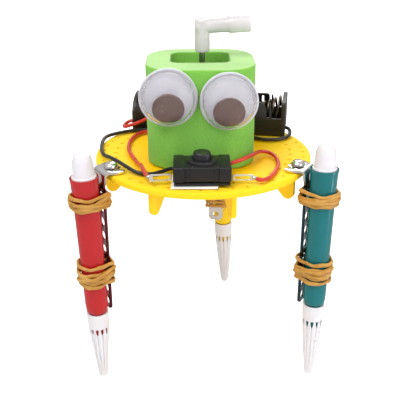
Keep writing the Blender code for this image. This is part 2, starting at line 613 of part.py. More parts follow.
# round-head screws, driven through each foot into the disc; the rear one from below
for name, ang, *_, side in LEGS:
    m = Matrix.Translation(polar(SCREW_R, ang, DISC_TOP + 0.3 + STRIP_T + 0.3) * MM)
    shank = 7.2
    if side == "below":
        m = Matrix.Translation(polar(SCREW_R, ang, zb - 0.3 - STRIP_T - 0.3) * MM) \
            @ Matrix.Rotation(math.pi, 4, "X")
        shank = 3.4
    s = bake(lathe("bracket_screw_" + name, NICKEL, [
        (0, 1.7), (1.1, 1.6), (1.9, 1.1), (2.35, 0.2), (2.35, 0), (0.85, 0),
        (0.85, 1.0 - shank), (0.4, -shank), (0, -shank)], 16, m))
    slot = box("screw_slot_" + name, None, -3, 3, -0.3, 0.3, 1.0, 3, 0.0,
               m @ Matrix.Rotation(math.radians(ang + 35), 4, "Z"), CUTS)
    boolean(s, slot)
    place(s, "bracket_screw_" + name, NICKEL, PARTS, 35)

# ---------------------------------------------------------------- wires
# battery positive end -> slack loop behind the foam -> left lug of the switch
tube("wire_red_battery", RED_W, smooth_path([
    (-25.6, 27.1, 81.0), (-27.6, 27.4, 80.7), (-29.5, 26.2, 79.9), (-29.7, 24.0, 79.5), (-27.0, 22.2, 80.7),
    (-23.5, 21.4, 82.2), (-20.0, 20.3, 84.0), (-16.6, 17.8, 84.9), (-14.0, 15.7, 83.7), (-13.6, 15.3, 81.4),
    (-15.4, 16.4, 79.8), (-17.8, 18.0, 79.3), (-20.6, 18.6, 79.2), (-23.6, 16.6, 79.2), (-25.9, 10.8, 79.2),
    (-26.5, 3.0, 79.2), (-25.7, -3.5, 79.2), (-23.6, -10.4, 79.2), (-22.0, -16.2, 79.6), (-20.8, -20.6, 80.9), (-19.9, -24.6, 81.15),
    (-18.8, -28.4, 80.9), (-18.1, -30.2, 80.7)], 2.6), WIRE_R, 2)
# switch right lug -> loop on the disc -> under the foam -> motor
tube("wire_red_motor", RED_W, smooth_path([
    (15.9, -31.6, 80.2), (17.2, -31.6, 79.8), (19.4, -29.4, 79.2), (21.6, -25.8, 79.1), (23.8, -20.0, 79.1),
    (24.8, -14.4, 79.1), (24.4, -9.0, 79.2), (22.4, -5.8, 79.5), (19.8, -6.6, 80.1), (18.2, -10.4, 81.2),
    (15.8, -16.0, 82.3), (11.8, -20.2, 82.2), (8.6, -21.0, 81.4), (6.4, -20.8, 80.2), (5.8, -18.6, 79.75),
    (5.8, -15.0, 79.7), (5.8, -9.0, 79.8), (5.8, -5.7, 79.9)], 2.6), WIRE_R, 2)
# battery negative end -> round the holder -> along the rim -> under the foam -> motor
tube("wire_black", BLACK_W, smooth_path([
    (30.6, 17.2, 81.0), (32.0, 16.9, 80.8), (32.7, 15.2, 80.0), (31.7, 12.2, 79.2), (29.0, 9.6, 79.1),
    (25.2, 8.6, 79.1), (21.4, 9.4, 79.1), (18.0, 11.6, 79.1), (13.0, 13.9, 79.1), (6.0, 14.6, 79.1),
    (-2.0, 14.8, 79.1), (-9.0, 16.4, 79.1), (-16.4, 20.2, 79.1), (-20.6, 21.4, 79.1), (-25.8, 20.5, 79.1),
    (-31.2, 17.8, 79.1), (-35.2, 14.0, 79.1), (-36.3, 8.6, 79.1), (-35.8, 0.0, 79.1), (-34.3, -6.2, 79.3),
    (-31.7, -10.9, 80.0), (-28.1, -16.3, 80.3), (-25.0, -20.4, 80.0), (-21.9, -22.9, 79.25), (-17.7, -24.1, 79.1),
    (-14.3, -22.8, 79.3), (-11.4, -21.0, 79.6), (-8.2, -20.6, 79.8), (-6.7, -18.8, 79.75), (-6.6, -14.0, 79.7),
    (-6.6, -9.0, 79.8), (-6.6, -5.7, 79.9)], 2.9), WIRE_R, 2)

# ---------------------------------------------------------------- origin at the centre of the footprint
for ob in list(PARTS.objects) + list(CUTS.objects):
    if ob.parent is None:
        ob.location += v3(OFFSET_X, OFFSET_Y, OFFSET_Z)
bpy.context.view_layer.update()
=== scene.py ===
import bpy
import bmesh
import json
import math
from mathutils import Vector, Matrix

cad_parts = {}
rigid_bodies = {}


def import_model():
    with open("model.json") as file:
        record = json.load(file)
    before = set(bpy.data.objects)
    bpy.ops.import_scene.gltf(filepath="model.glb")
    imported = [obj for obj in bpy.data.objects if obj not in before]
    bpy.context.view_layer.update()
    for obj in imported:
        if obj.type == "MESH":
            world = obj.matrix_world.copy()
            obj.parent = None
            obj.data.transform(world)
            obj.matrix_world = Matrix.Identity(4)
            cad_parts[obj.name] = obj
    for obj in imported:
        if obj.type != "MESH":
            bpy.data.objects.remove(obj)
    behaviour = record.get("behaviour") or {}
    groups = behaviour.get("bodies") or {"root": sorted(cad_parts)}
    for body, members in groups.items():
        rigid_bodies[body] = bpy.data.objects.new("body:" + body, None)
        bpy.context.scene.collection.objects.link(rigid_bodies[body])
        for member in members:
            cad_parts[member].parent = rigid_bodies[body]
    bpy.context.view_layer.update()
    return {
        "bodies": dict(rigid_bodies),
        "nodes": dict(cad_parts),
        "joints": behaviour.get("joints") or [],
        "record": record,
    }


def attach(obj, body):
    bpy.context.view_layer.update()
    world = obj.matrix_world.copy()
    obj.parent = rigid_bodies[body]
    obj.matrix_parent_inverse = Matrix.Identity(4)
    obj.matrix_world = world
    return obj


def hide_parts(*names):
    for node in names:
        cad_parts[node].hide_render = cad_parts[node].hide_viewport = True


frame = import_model()
NODES = frame["nodes"]

MM = 0.001
OX, OY, OZ = -0.09, -6.39, 0.04          # the design frame (mm) to the row frame
PI = math.pi


def P(x, y, z):
    return Vector(((x + OX) * MM, (y + OY) * MM, (z + OZ) * MM))


def TM(x, y, z):
    return Matrix.Translation(P(x, y, z))


def RX(d):
    return Matrix.Rotation(math.radians(d), 4, "X")


def RY(d):
    return Matrix.Rotation(math.radians(d), 4, "Y")


def RZ(d):
    return Matrix.Rotation(math.radians(d), 4, "Z")


def S3(v):
    return Vector((v[0] * MM, v[1] * MM, v[2] * MM))


bpy.context.scene.view_settings.view_transform = "Standard"
bpy.context.scene.view_settings.look = "None"


# ================================================================ materials
def srgb(r, g, b):
    def f(c):
        c = c / 255.0
        return c / 12.92 if c <= 0.04045 else ((c + 0.055) / 1.055) ** 2.4
    return (f(r), f(g), f(b))


def shade(name, rgb, rough=0.45, metal=0.0, mottle=0.06, mottle_scale=90.0, tint=None, rough_var=0.08,
          rough_scale=260.0, bump=0.12, bump_scale=900.0, bump_dist=0.00008, grain=0.0, grain_scale=4000.0,
          scratch=0.0, spec=0.5, coat=0.0, trans=0.0, ior=1.46, alpha=1.0, sss=0.0, sss_scale=0.001, sheen=0.0,
          wear=0.0, wear_rgb=(0.9, 0.9, 0.9), emit=0.0):
    """A moulded, metal or rubber surface: uneven colour, uneven gloss and a fine relief, all procedural."""
    m = bpy.data.materials.new(name)
    m.use_nodes = True
    nt = m.node_tree
    N, L = nt.nodes, nt.links
    b = N["Principled BSDF"]
    b.inputs["Metallic"].default_value = metal
    b.inputs["Specular IOR Level"].default_value = spec
    b.inputs["IOR"].default_value = ior
    b.inputs["Coat Weight"].default_value = coat
    b.inputs["Coat Roughness"].default_value = 0.08
    b.inputs["Transmission Weight"].default_value = trans
    b.inputs["Alpha"].default_value = alpha
    b.inputs["Subsurface Weight"].default_value = sss
    b.inputs["Subsurface Scale"].default_value = sss_scale
    b.inputs["Subsurface Radius"].default_value = (1.0, 0.8, 0.6)
    b.inputs["Sheen Weight"].default_value = sheen
    b.inputs["Roughness"].default_value = rough
    tc = N.new("ShaderNodeTexCoord")

    def noise(scale, detail=3.0, rough_=0.5, dist=0.0):
        n = N.new("ShaderNodeTexNoise")
        n.inputs["Scale"].default_value = scale
        n.inputs["Detail"].default_value = detail
        n.inputs["Roughness"].default_value = rough_
        n.inputs["Distortion"].default_value = dist
        L.new(tc.outputs["Object"], n.inputs["Vector"])
        return n.outputs["Fac"]

    def ramp(fac, lo, hi, a, c):
        r = N.new("ShaderNodeMapRange")
        r.inputs["From Min"].default_value = lo
        r.inputs["From Max"].default_value = hi
        r.inputs["To Min"].default_value = a
        r.inputs["To Max"].default_value = c
        L.new(fac, r.inputs["Value"])
        return r.outputs["Result"]

    def mix(fac, a, c):
        x = N.new("ShaderNodeMix")
        x.data_type = "RGBA"
        L.new(fac, x.inputs["Factor"])
        for sock, v in (("A", a), ("B", c)):
            i = [s for s in x.inputs if s.name == sock and s.type == "RGBA"][0]
            if isinstance(v, tuple):
                i.default_value = (v[0], v[1], v[2], 1.0)
            else:
                L.new(v, i)
        return [s for s in x.outputs if s.type == "RGBA"][0]

    dark = tuple(max(0.0, c * (1.0 - mottle)) for c in rgb)
    light = tint if tint is not None else tuple(min(1.0, c * (1.0 + mottle)) for c in rgb)
    col = mix(ramp(noise(mottle_scale, 4.0), 0.3, 0.7, 0.0, 1.0), dark, light)
    if wear > 0.0:
        w = ramp(noise(mottle_scale * 3.3, 6.0, 0.65, 0.4), 0.62, 0.74, 0.0, wear)
        col = mix(w, col, tuple(wear_rgb))
    L.new(col, b.inputs["Base Color"])
    L.new(ramp(noise(rough_scale, 5.0, 0.6), 0.25, 0.75, max(0.0, rough - rough_var), min(1.0, rough + rough_var)),
          b.inputs["Roughness"])
    normal = None
    if bump > 0.0:
        bp = N.new("ShaderNodeBump")
        bp.inputs["Strength"].default_value = bump
        bp.inputs["Distance"].default_value = bump_dist
        L.new(noise(bump_scale, 3.0), bp.inputs["Height"])
        normal = bp.outputs["Normal"]
    if grain > 0.0:
        g = N.new("ShaderNodeBump")
        g.inputs["Strength"].default_value = grain
        g.inputs["Distance"].default_value = 0.00005
        L.new(noise(grain_scale, 2.0), g.inputs["Height"])
        if normal is not None:
            L.new(normal, g.inputs["Normal"])
        normal = g.outputs["Normal"]
    if scratch > 0.0:
        mp = N.new("ShaderNodeMapping")
        mp.inputs["Scale"].default_value = (60.0, 60.0, 2400.0)
        L.new(tc.outputs["Object"], mp.inputs["Vector"])
        s = N.new("ShaderNodeTexNoise")
        s.inputs["Scale"].default_value = 1.0
        s.inputs["Detail"].default_value = 4.0
        L.new(mp.outputs["Vector"], s.inputs["Vector"])
        g = N.new("ShaderNodeBump")
        g.inputs["Strength"].default_value = scratch
        g.inputs["Distance"].default_value = 0.00003
        L.new(s.outputs["Fac"], g.inputs["Height"])
        if normal is not None:
            L.new(normal, g.inputs["Normal"])
        normal = g.outputs["Normal"]
    if normal is not None:
        L.new(normal, b.inputs["Normal"])
    m["helpers"] = 1
    return m


def foam_material():
    """Closed-cell craft foam: a skin of small cells, faint blotches and pinholes."""
    m = bpy.data.materials.new("foam_green")
    m.use_nodes = True
    nt = m.node_tree
    N, L = nt.nodes, nt.links
    b = N["Principled BSDF"]
    b.inputs["Specular IOR Level"].default_value = 0.25
    b.inputs["Sheen Weight"].default_value = 0.12
    tc = N.new("ShaderNodeTexCoord")
    cells = N.new("ShaderNodeTexVoronoi")
    cells.inputs["Scale"].default_value = 2600.0
    L.new(tc.outputs["Object"], cells.inputs["Vector"])
    fine = N.new("ShaderNodeTexNoise")
    fine.inputs["Scale"].default_value = 1500.0
    fine.inputs["Detail"].default_value = 4.0
    L.new(tc.outputs["Object"], fine.inputs["Vector"])
    blot = N.new("ShaderNodeTexNoise")
    blot.inputs["Scale"].default_value = 70.0
    blot.inputs["Detail"].default_value = 3.0
    L.new(tc.outputs["Object"], blot.inputs["Vector"])
    cr = N.new("ShaderNodeValToRGB")
    cr.color_ramp.elements[0].position = 0.3
    cr.color_ramp.elements[0].color = (*srgb(119, 186, 72), 1)
    cr.color_ramp.elements[1].position = 0.75
    cr.color_ramp.elements[1].color = (*srgb(134, 199, 84), 1)
    L.new(blot.outputs["Fac"], cr.inputs["Fac"])
    pin = N.new("ShaderNodeMapRange")
    pin.inputs["From Min"].default_value = 0.34
    pin.inputs["From Max"].default_value = 0.5
    pin.inputs["To Min"].default_value = 0.35
    pin.inputs["To Max"].default_value = 0.0
    L.new(fine.outputs["Fac"], pin.inputs["Value"])
    mx = N.new("ShaderNodeMix")
    mx.data_type = "RGBA"
    ins = [s for s in mx.inputs if s.type == "RGBA"]
    L.new(pin.outputs["Result"], mx.inputs["Factor"])
    L.new(cr.outputs["Color"], ins[0])
    ins[1].default_value = (*srgb(98, 164, 54), 1)
    # painted highlight: faces pointing up are painted paler than the sides, standing in for the overhead light on the
    # top
    geo = N.new("ShaderNodeNewGeometry")
    sp = N.new("ShaderNodeSeparateXYZ")
    L.new(geo.outputs["Normal"], sp.inputs[0])
    up = N.new("ShaderNodeMapRange")
    up.inputs["From Min"].default_value = 0.55
    up.inputs["From Max"].default_value = 0.95
    up.inputs["To Max"].default_value = 0.5
    L.new(sp.outputs["Z"], up.inputs["Value"])
    painted_top_light_mix = N.new("ShaderNodeMix")
    painted_top_light_mix.data_type = "RGBA"
    i2 = [s for s in painted_top_light_mix.inputs if s.type == "RGBA"]
    L.new(up.outputs["Result"], painted_top_light_mix.inputs["Factor"])
    L.new([s for s in mx.outputs if s.type == "RGBA"][0], i2[0])
    i2[1].default_value = (*srgb(204, 232, 172), 1)
    L.new([s for s in painted_top_light_mix.outputs if s.type == "RGBA"][0], b.inputs["Base Color"])
    rr = N.new("ShaderNodeMapRange")
    rr.inputs["To Min"].default_value = 0.72
    rr.inputs["To Max"].default_value = 0.92
    L.new(fine.outputs["Fac"], rr.inputs["Value"])
    L.new(rr.outputs["Result"], b.inputs["Roughness"])
    b1 = N.new("ShaderNodeBump")
    b1.inputs["Strength"].default_value = 0.35
    b1.inputs["Distance"].default_value = 0.0001
    L.new(cells.outputs["Distance"], b1.inputs["Height"])
    b2 = N.new("ShaderNodeBump")
    b2.inputs["Strength"].default_value = 0.45
    b2.inputs["Distance"].default_value = 0.00014
    L.new(fine.outputs["Fac"], b2.inputs["Height"])
    L.new(b1.outputs["Normal"], b2.inputs["Normal"])
    L.new(b2.outputs["Normal"], b.inputs["Normal"])
    return m


def disc_material():
    """Glossy yellow sheet plastic, a little deeper in colour towards the middle."""
    m = shade("disc_yellow", srgb(255, 203, 14), rough=0.48, mottle=0.03, bump=0.06, bump_scale=400, grain=0.05,
              spec=0.08, emit=0.14)
    nt = m.node_tree
    N, L = nt.nodes, nt.links
    b = N["Principled BSDF"]
    tc = N.new("ShaderNodeTexCoord")
    mp = N.new("ShaderNodeMapping")
    mp.inputs["Location"].default_value = (-OX * MM, -OY * MM, 0.0)
    mp.inputs["Scale"].default_value = (1.0, 1.0, 0.0)
    L.new(tc.outputs["Object"], mp.inputs["Vector"])
    ln = N.new("ShaderNodeVectorMath")
    ln.operation = "LENGTH"
    L.new(mp.outputs["Vector"], ln.inputs[0])
    wob = N.new("ShaderNodeTexNoise")
    wob.inputs["Scale"].default_value = 60.0
    L.new(tc.outputs["Object"], wob.inputs["Vector"])
    ma = N.new("ShaderNodeMath")
    ma.operation = "MULTIPLY_ADD"
    L.new(wob.outputs["Fac"], ma.inputs[0])
    ma.inputs[1].default_value = 0.006
    L.new(ln.outputs["Value"], ma.inputs[2])
    r = N.new("ShaderNodeMapRange")
    r.inputs["From Min"].default_value = 0.024
    r.inputs["From Max"].default_value = 0.0335
    L.new(ma.outputs[0], r.inputs["Value"])
    mx = N.new("ShaderNodeMix")
    mx.data_type = "RGBA"
    ins = [s for s in mx.inputs if s.type == "RGBA"]
    L.new(r.outputs["Result"], mx.inputs["Factor"])
    ins[0].default_value = (*srgb(255, 194, 0), 1)
    ins[1].default_value = (*srgb(255, 213, 42), 1)
    old = b.inputs["Base Color"].links[0].from_socket
    mul = N.new("ShaderNodeMix")
    mul.data_type = "RGBA"
    mi = [s for s in mul.inputs if s.type == "RGBA"]
    mul.inputs["Factor"].default_value = 0.85
    L.new(old, mi[0])
    L.new([s for s in mx.outputs if s.type == "RGBA"][0], mi[1])
    L.new([s for s in mul.outputs if s.type == "RGBA"][0], b.inputs["Base Color"])
    return m


M = {
    "disc": disc_material(),
    "foam": foam_material(),
    "motor": shade("motor_steel", (0.5, 0.5, 0.5), rough=0.28, metal=1.0, scratch=0.3, mottle=0.15),
    "nylon": shade("motor_nylon", srgb(232, 228, 218), rough=0.5, grain=0.1),
    "iron": shade("motor_iron", (0.3, 0.2, 0.14), rough=0.5, metal=0.9, scratch=0.6, mottle=0.3),
    "magnet": shade("magnet", (0.05, 0.05, 0.052), rough=0.7, grain=0.5, mottle=0.25),
    "brass": shade("brass", srgb(214, 170, 92), rough=0.3, metal=1.0, mottle=0.18, scratch=0.2, wear=0.3,
                   wear_rgb=srgb(160, 116, 60)),
    "shaft": shade("shaft_steel", (0.30, 0.29, 0.27), rough=0.3, metal=1.0, mottle=0.2, scratch=0.5),
    "milky": shade("milky_tube", srgb(208, 204, 204), rough=0.24, mottle=0.09, bump=0.2, bump_scale=260,
                   bump_dist=0.00012, sss=0.05, sss_scale=0.0008, spec=0.6),
    "steel": shade("steel_wire", (0.62, 0.62, 0.62), rough=0.22, metal=1.0, scratch=0.2, mottle=0.12),
    "eye_white": shade("eye_white", srgb(229, 228, 237), rough=0.42, mottle=0.035, mottle_scale=220, grain=0.12,
                       spec=0.4),
    "eye_clear": shade("eye_clear", (0.985, 0.985, 0.99), rough=0.05, rough_var=0.03, mottle=0.01, bump=0.01,
                       bump_scale=60, bump_dist=0.00002, trans=1.0, ior=1.15),
    # painted reflection: the pupil's base is a light brown-grey instead of black, standing in for the room mirrored in
    # it and the dome's haze
    "pupil": shade("eye_black", srgb(126, 104, 100), rough=0.24, rough_var=0.08, mottle=0.2, bump=0.05, grain=0.05,
                   spec=0.8),
    "switch": shade("switch_black", srgb(31, 29, 31), rough=0.42, rough_var=0.1, mottle=0.12, grain=0.35,
                    grain_scale=5200, wear=0.12, wear_rgb=srgb(96, 94, 96)),
    "button": shade("button_black", srgb(34, 33, 37), rough=0.3, mottle=0.15, grain=0.1, spec=0.6),
    "nickel": shade("nickel", (0.74, 0.73, 0.71), rough=0.16, rough_var=0.07, metal=1.0, mottle=0.12, bump=0.25,
                    bump_scale=420, bump_dist=0.00006, scratch=0.12),
    "tin": shade("tin", (0.82, 0.81, 0.78), rough=0.3, rough_var=0.1, metal=0.65, mottle=0.14, bump=0.2,
                 bump_scale=420, bump_dist=0.00005, scratch=0.15),
    "coil": shade("coil_steel", (0.16, 0.125, 0.085), rough=0.3, metal=1.0, scratch=0.2, mottle=0.2),
    "tape": shade("tape_white", srgb(238, 236, 230), rough=0.7, grain=0.5, mottle=0.06),
    "holder": shade("holder_black", srgb(38, 32, 29), rough=0.42, rough_var=0.1, mottle=0.15, grain=0.15, bump=0.1,
                    spec=0.55, wear=0.1, wear_rgb=srgb(90, 86, 86)),
    "red": shade("red_plastic", srgb(187, 33, 39), rough=0.2, mottle=0.05, bump=0.1, bump_scale=220, grain=0.06),
    "teal": shade("teal_plastic", srgb(16, 108, 113), rough=0.2, mottle=0.05, bump=0.1, bump_scale=220, grain=0.06),
    "yellow": shade("yellow_plastic", srgb(246, 205, 20), rough=0.2, mottle=0.05, bump=0.1, bump_scale=220,
                    grain=0.06),
    "plug": shade("plug_white", srgb(226, 222, 227), rough=0.3, mottle=0.02, bump=0.06, grain=0.05, sss=0.25,
                  sss_scale=0.0015),
    "felt": shade("felt", srgb(236, 232, 226), rough=0.9, grain=0.8, mottle=0.08),
    "band": shade("band_rubber", srgb(192, 138, 52), rough=0.42, rough_var=0.12, mottle=0.14, mottle_scale=300,
                  tint=srgb(206, 156, 76), bump=0.35, bump_scale=700, bump_dist=0.0001, grain=0.2, sss=0.15,
                  sss_scale=0.0006),
    "w_red": shade("wire_red", srgb(206, 58, 44), rough=0.3, mottle=0.08, mottle_scale=160, bump=0.1),
    "w_black": shade("wire_black", srgb(36, 33, 34), rough=0.34, mottle=0.12, mottle_scale=160, bump=0.12),
    "solder": shade("solder", (0.6, 0.6, 0.6), rough=0.3, metal=1.0, mottle=0.15, bump=0.4, bump_scale=900),
    "copper": shade("copper_strands", srgb(196, 128, 84), rough=0.3, metal=1.0, mottle=0.2, scratch=0.5),
}


# ================================================================ mesh helpers
def make(name, verts, faces, mat, body, slot=None, smooth=38, replaces=(), matrix=None):
    me = bpy.data.meshes.new(name)
    me.from_pydata([tuple(v) for v in verts], [], faces)
    if matrix is not None:
        me.transform(matrix)
    bm = bmesh.new()
    bm.from_mesh(me)
    bmesh.ops.remove_doubles(bm, verts=bm.verts, dist=0.0000015)
    bmesh.ops.dissolve_degenerate(bm, edges=bm.edges, dist=0.0000005)
    bmesh.ops.recalc_face_normals(bm, faces=bm.faces)
    bm.to_mesh(me)
    bm.free()
    return put(name, me, mat, body, smooth, replaces)


def put(name, me, mat, body, smooth=38, replaces=()):
    me.materials.clear()
    me.materials.append(M[mat] if isinstance(mat, str) else mat)
    me.shade_smooth()
    if smooth is not None:
        me.set_sharp_from_angle(angle=math.radians(smooth))
    ob = bpy.data.objects.new(name, me)
    bpy.context.scene.collection.objects.link(ob)
    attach(ob, body)
    if replaces:
        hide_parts(*replaces)
    return ob


def lathe_data(profile, steps, matrix=None):
    """(verts, faces) of a turned closed solid; the profile is (radius, height) in mm, axis to axis or a loop."""
    verts, faces, rings = [], [], []
    for r, z in profile:
        if r <= 1e-6:
            rings.append([len(verts)])
            verts.append(Vector((0, 0, z * MM)))
        else:
            rings.append(list(range(len(verts), len(verts) + steps)))
            for i in range(steps):
                a = math.tau * i / steps
                verts.append(Vector((r * MM * math.cos(a), r * MM * math.sin(a), z * MM)))
    closed = profile[0][0] > 1e-6 and profile[-1][0] > 1e-6
    pairs = list(zip(rings, rings[1:]))
    if closed:
        pairs.append((rings[-1], rings[0]))
    for a, b in pairs:
        for i in range(steps):
            j = (i + 1) % steps
            if len(a) == 1 and len(b) == 1:
                continue
            if len(a) == 1:
                faces.append((a[0], b[i], b[j]))
            elif len(b) == 1:
                faces.append((a[i], b[0], a[j]))
            else:
                faces.append((a[i], b[i], b[j], a[j]))
    if matrix is not None:
        verts = [matrix @ v for v in verts]
    return verts, faces


def lathe(name, profile, steps, matrix, mat, body, **kw):
    v, f = lathe_data(profile, steps, matrix)
    return make(name, v, f, mat, body, **kw)


def soft(profile, n=3, cut=0.35):
    """Rounds the corners of a (radius, height) profile."""
    out = [profile[0]]
    for a, b, c in zip(profile, profile[1:], profile[2:]):
        a, b, c = Vector(a), Vector(b), Vector(c)
        k = min(cut, (a - b).length * 0.45, (c - b).length * 0.45)
        if k < 0.02 or (b - a).normalized().dot((c - b).normalized()) > 0.985:
            out.append(tuple(b))
            continue
        s, e = b + (a - b).normalized() * k, b + (c - b).normalized() * k
        for i in range(n + 1):
            t = i / n
            out.append(tuple(s * (1 - t) ** 2 + b * 2 * t * (1 - t) + e * t * t))
    out.append(profile[-1])
    return out


def frames(pts, closed=False):
    """Parallel-transport frames along a list of points."""
    n = len(pts)
    tan = []
    for i in range(n):
        a = pts[(i - 1) % n] if closed or i > 0 else pts[i]
        b = pts[(i + 1) % n] if closed or i < n - 1 else pts[i]
        tan.append((b - a).normalized())
    ref = Vector((0, 0, 1)) if abs(tan[0].z) < 0.9 else Vector((1, 0, 0))
    u = (ref - tan[0] * ref.dot(tan[0])).normalized()
    out = []
    for t in tan:
        u = (u - t * u.dot(t)).normalized()
        out.append((t, u, t.cross(u)))
    return out


def sweep_data(pts, section, closed=False, scale=None, cap=True):
    """Sweeps a 2D section (mm) along points (m)."""
    verts, faces = [], []
    fr = frames(pts, closed)
    k = len(section)
    for i, (p, (t, u, w)) in enumerate(zip(pts, fr)):
        s = scale[i] if scale else 1.0
        for x, y in section:
            verts.append(p + u * (x * MM * s) + w * (y * MM * s))
    n = len(pts)
    for i in range(n if closed else n - 1):
        a, b = i * k, ((i + 1) % n) * k
        for j in range(k):
            l = (j + 1) % k
            faces.append((a + j, a + l, b + l, b + j))
    if not closed and cap:
        faces.append(tuple(reversed(range(k))))
        faces.append(tuple(range((n - 1) * k, n * k)))
    return verts, faces


def circle(r, n=12):
    return [(r * math.cos(math.tau * i / n), r * math.sin(math.tau * i / n)) for i in range(n)]


def arc(cx, cy, r, a0, a1, n):
    return [(cx + r * math.cos(math.radians(a0 + (a1 - a0) * i / (n - 1))),
             cy + r * math.sin(math.radians(a0 + (a1 - a0) * i / (n - 1)))) for i in range(n)]


def rrect(cx, cy, hx, hy, r, n=5):
    return (arc(cx + hx - r, cy + hy - r, r, 0, 90, n) + arc(cx - hx + r, cy + hy - r, r, 90, 180, n)
            + arc(cx - hx + r, cy - hy + r, r, 180, 270, n) + arc(cx + hx - r, cy - hy + r, r, 270, 360, n))


def plate_mesh(loops, z0, z1, edge=0.1, matrix=None, res=2):
    """Flat plate from 2D outlines (mm) with rounded edges, extruded from z0 to z1."""
    cu = bpy.data.curves.new("plate_tmp", "CURVE")
    cu.dimensions = "2D"
    cu.fill_mode = "BOTH"
    for loop in loops:
        sp = cu.splines.new("POLY")
        sp.points.add(len(loop) - 1)
        for p, (x, y) in zip(sp.points, loop):
            p.co = (x * MM, y * MM, 0.0, 1.0)
        sp.use_cyclic_u = True
    half = (z1 - z0) / 2
    cu.extrude = max(0.0, (half - edge)) * MM
    cu.bevel_depth = edge * MM
    cu.bevel_resolution = res
    cu.offset = -edge * MM
    ob = bpy.data.objects.new("plate_tmp", cu)
    bpy.context.scene.collection.objects.link(ob)
    dg = bpy.context.evaluated_depsgraph_get()
    dg.update()
    me = bpy.data.meshes.new_from_object(ob.evaluated_get(dg))
    bpy.data.objects.remove(ob, do_unlink=True)
    bpy.data.curves.remove(cu)
    me.transform(Matrix.Translation((0, 0, (z0 + z1) / 2 * MM)))
    if matrix is not None:
        me.transform(matrix)
    bm = bmesh.new()
    bm.from_mesh(me)
    bmesh.ops.remove_doubles(bm, verts=bm.verts, dist=0.000002)
    bmesh.ops.recalc_face_normals(bm, faces=bm.faces)
    bm.to_mesh(me)
    bm.free()
    return me


def block_mesh(x0, x1, y0, y1, z0, z1, edge=0.3, seg=3, matrix=None):
    """A block with rounded edges, in mm."""
    bm = bmesh.new()
    bmesh.ops.create_cube(bm, size=1.0)
    for v in bm.verts:
        v.co = Vector(((v.co.x + 0.5) * (x1 - x0) + x0, (v.co.y + 0.5) * (y1 - y0) + y0,
                       (v.co.z + 0.5) * (z1 - z0) + z0)) * MM
    if edge > 0:
        bmesh.ops.bevel(bm, geom=list(bm.edges) + list(bm.verts), offset=edge * MM, segments=seg, profile=0.5,
                        affect="EDGES", clamp_overlap=True)
    me = bpy.data.meshes.new("block")
    bm.to_mesh(me)
    bm.free()
    if matrix is not None:
        me.transform(matrix)
    return me


def join(meshes, name="joined"):
    bm = bmesh.new()
    for me in meshes:
        bm.from_mesh(me)
    out = bpy.data.meshes.new(name)
    bm.to_mesh(out)
    bm.free()
    return out


def raw(verts, faces):
    me = bpy.data.meshes.new("raw")
    me.from_pydata([tuple(v) for v in verts], [], faces)
    bm = bmesh.new()
    bm.from_mesh(me)
    bmesh.ops.recalc_face_normals(bm, faces=bm.faces)
    bm.to_mesh(me)
    bm.free()
    return me


def cut_mesh(me, cutters, ops):
    """Exact booleans, applied."""
    ob = bpy.data.objects.new("cut_tmp", me)
    bpy.context.scene.collection.objects.link(ob)
    made = []
    for c, op in zip(cutters, ops):
        co = bpy.data.objects.new("cutter_tmp", c)
        bpy.context.scene.collection.objects.link(co)
        md = ob.modifiers.new("b", "BOOLEAN")
        md.operation = op
        md.solver = "EXACT"
        md.object = co
        made.append(co)
    dg = bpy.context.evaluated_depsgraph_get()
    dg.update()
    out = bpy.data.meshes.new_from_object(ob.evaluated_get(dg))
    for o in made + [ob]:
        bpy.data.objects.remove(o, do_unlink=True)
    return out


def smooth_path(ctrl, step):
    """Points (mm) every `step` mm along a Catmull-Rom curve through the control points."""
    dense = []
    n = len(ctrl)
    for i in range(n - 1):
        p0 = Vector(ctrl[max(i - 1, 0)])
        p1 = Vector(ctrl[i])
        p2 = Vector(ctrl[i + 1])
        p3 = Vector(ctrl[min(i + 2, n - 1)])
        d1 = max((p1 - p0).length, 1e-6) ** 0.5
        d2 = max((p2 - p1).length, 1e-6) ** 0.5
        d3 = max((p3 - p2).length, 1e-6) ** 0.5
        t1 = (p2 - p0) * (d2 / (d1 + d2)) if i > 0 else (p2 - p1)
        t2 = (p3 - p1) * (d2 / (d2 + d3)) if i < n - 2 else (p2 - p1)
        for k in range(24):
            t = k / 24.0
            h00 = 2 * t ** 3 - 3 * t ** 2 + 1
            h10 = t ** 3 - 2 * t ** 2 + t
            h01 = -2 * t ** 3 + 3 * t ** 2
            h11 = t ** 3 - t ** 2
            dense.append(p1 * h00 + t1 * h10 + p2 * h01 + t2 * h11)
    dense.append(Vector(ctrl[-1]))
    length = sum((b - a).length for a, b in zip(dense, dense[1:]))
    count = max(2, round(length / step))
    out, walked, want, k = [dense[0]], 0.0, length / count, 1
    for a, b in zip(dense, dense[1:]):
        seg = (b - a).length
        while walked + seg >= want * k - 1e-9 and k < count:
            out.append(a + (b - a) * ((want * k - walked) / max(seg, 1e-9)))
            k += 1
        walked += seg
    out.append(dense[-1])
    return out


def wobble(x, y, z, s=1.0):
    """A smooth deterministic value between about -1 and 1."""
    return (math.sin(0.9 * x * s + 1.3) * math.cos(0.7 * y * s - 0.4) + 0.6 * math.sin(1.7 * z * s + 0.5 * x * s)
            + 0.4 * math.cos(2.3 * y * s + 1.1 * z * s)) / 2.0


# ================================================================ camera
cam_data = bpy.data.cameras.new("camera")
cam = bpy.data.objects.new("camera", cam_data)
bpy.context.scene.collection.objects.link(cam)
yaw, pitch = 0.025, 0.411
fwd = Vector((math.sin(yaw) * math.cos(pitch), math.cos(yaw) * math.cos(pitch), -math.sin(pitch)))
right = Vector((math.cos(yaw), -math.sin(yaw), 0.0))
upv = right.cross(fwd)
rot = Matrix((right, upv, -fwd)).transposed().to_4x4()
cam.matrix_world = Matrix.Translation(P(-5.011, -238.583, 165.2)) @ rot
cam_data.sensor_width = 36.0
cam_data.lens = 61.97
cam_data.shift_x = 0.00476
cam_data.shift_y = -0.0322
cam_data.clip_start = 0.01
cam_data.clip_end = 20.0
bpy.context.scene.camera = cam

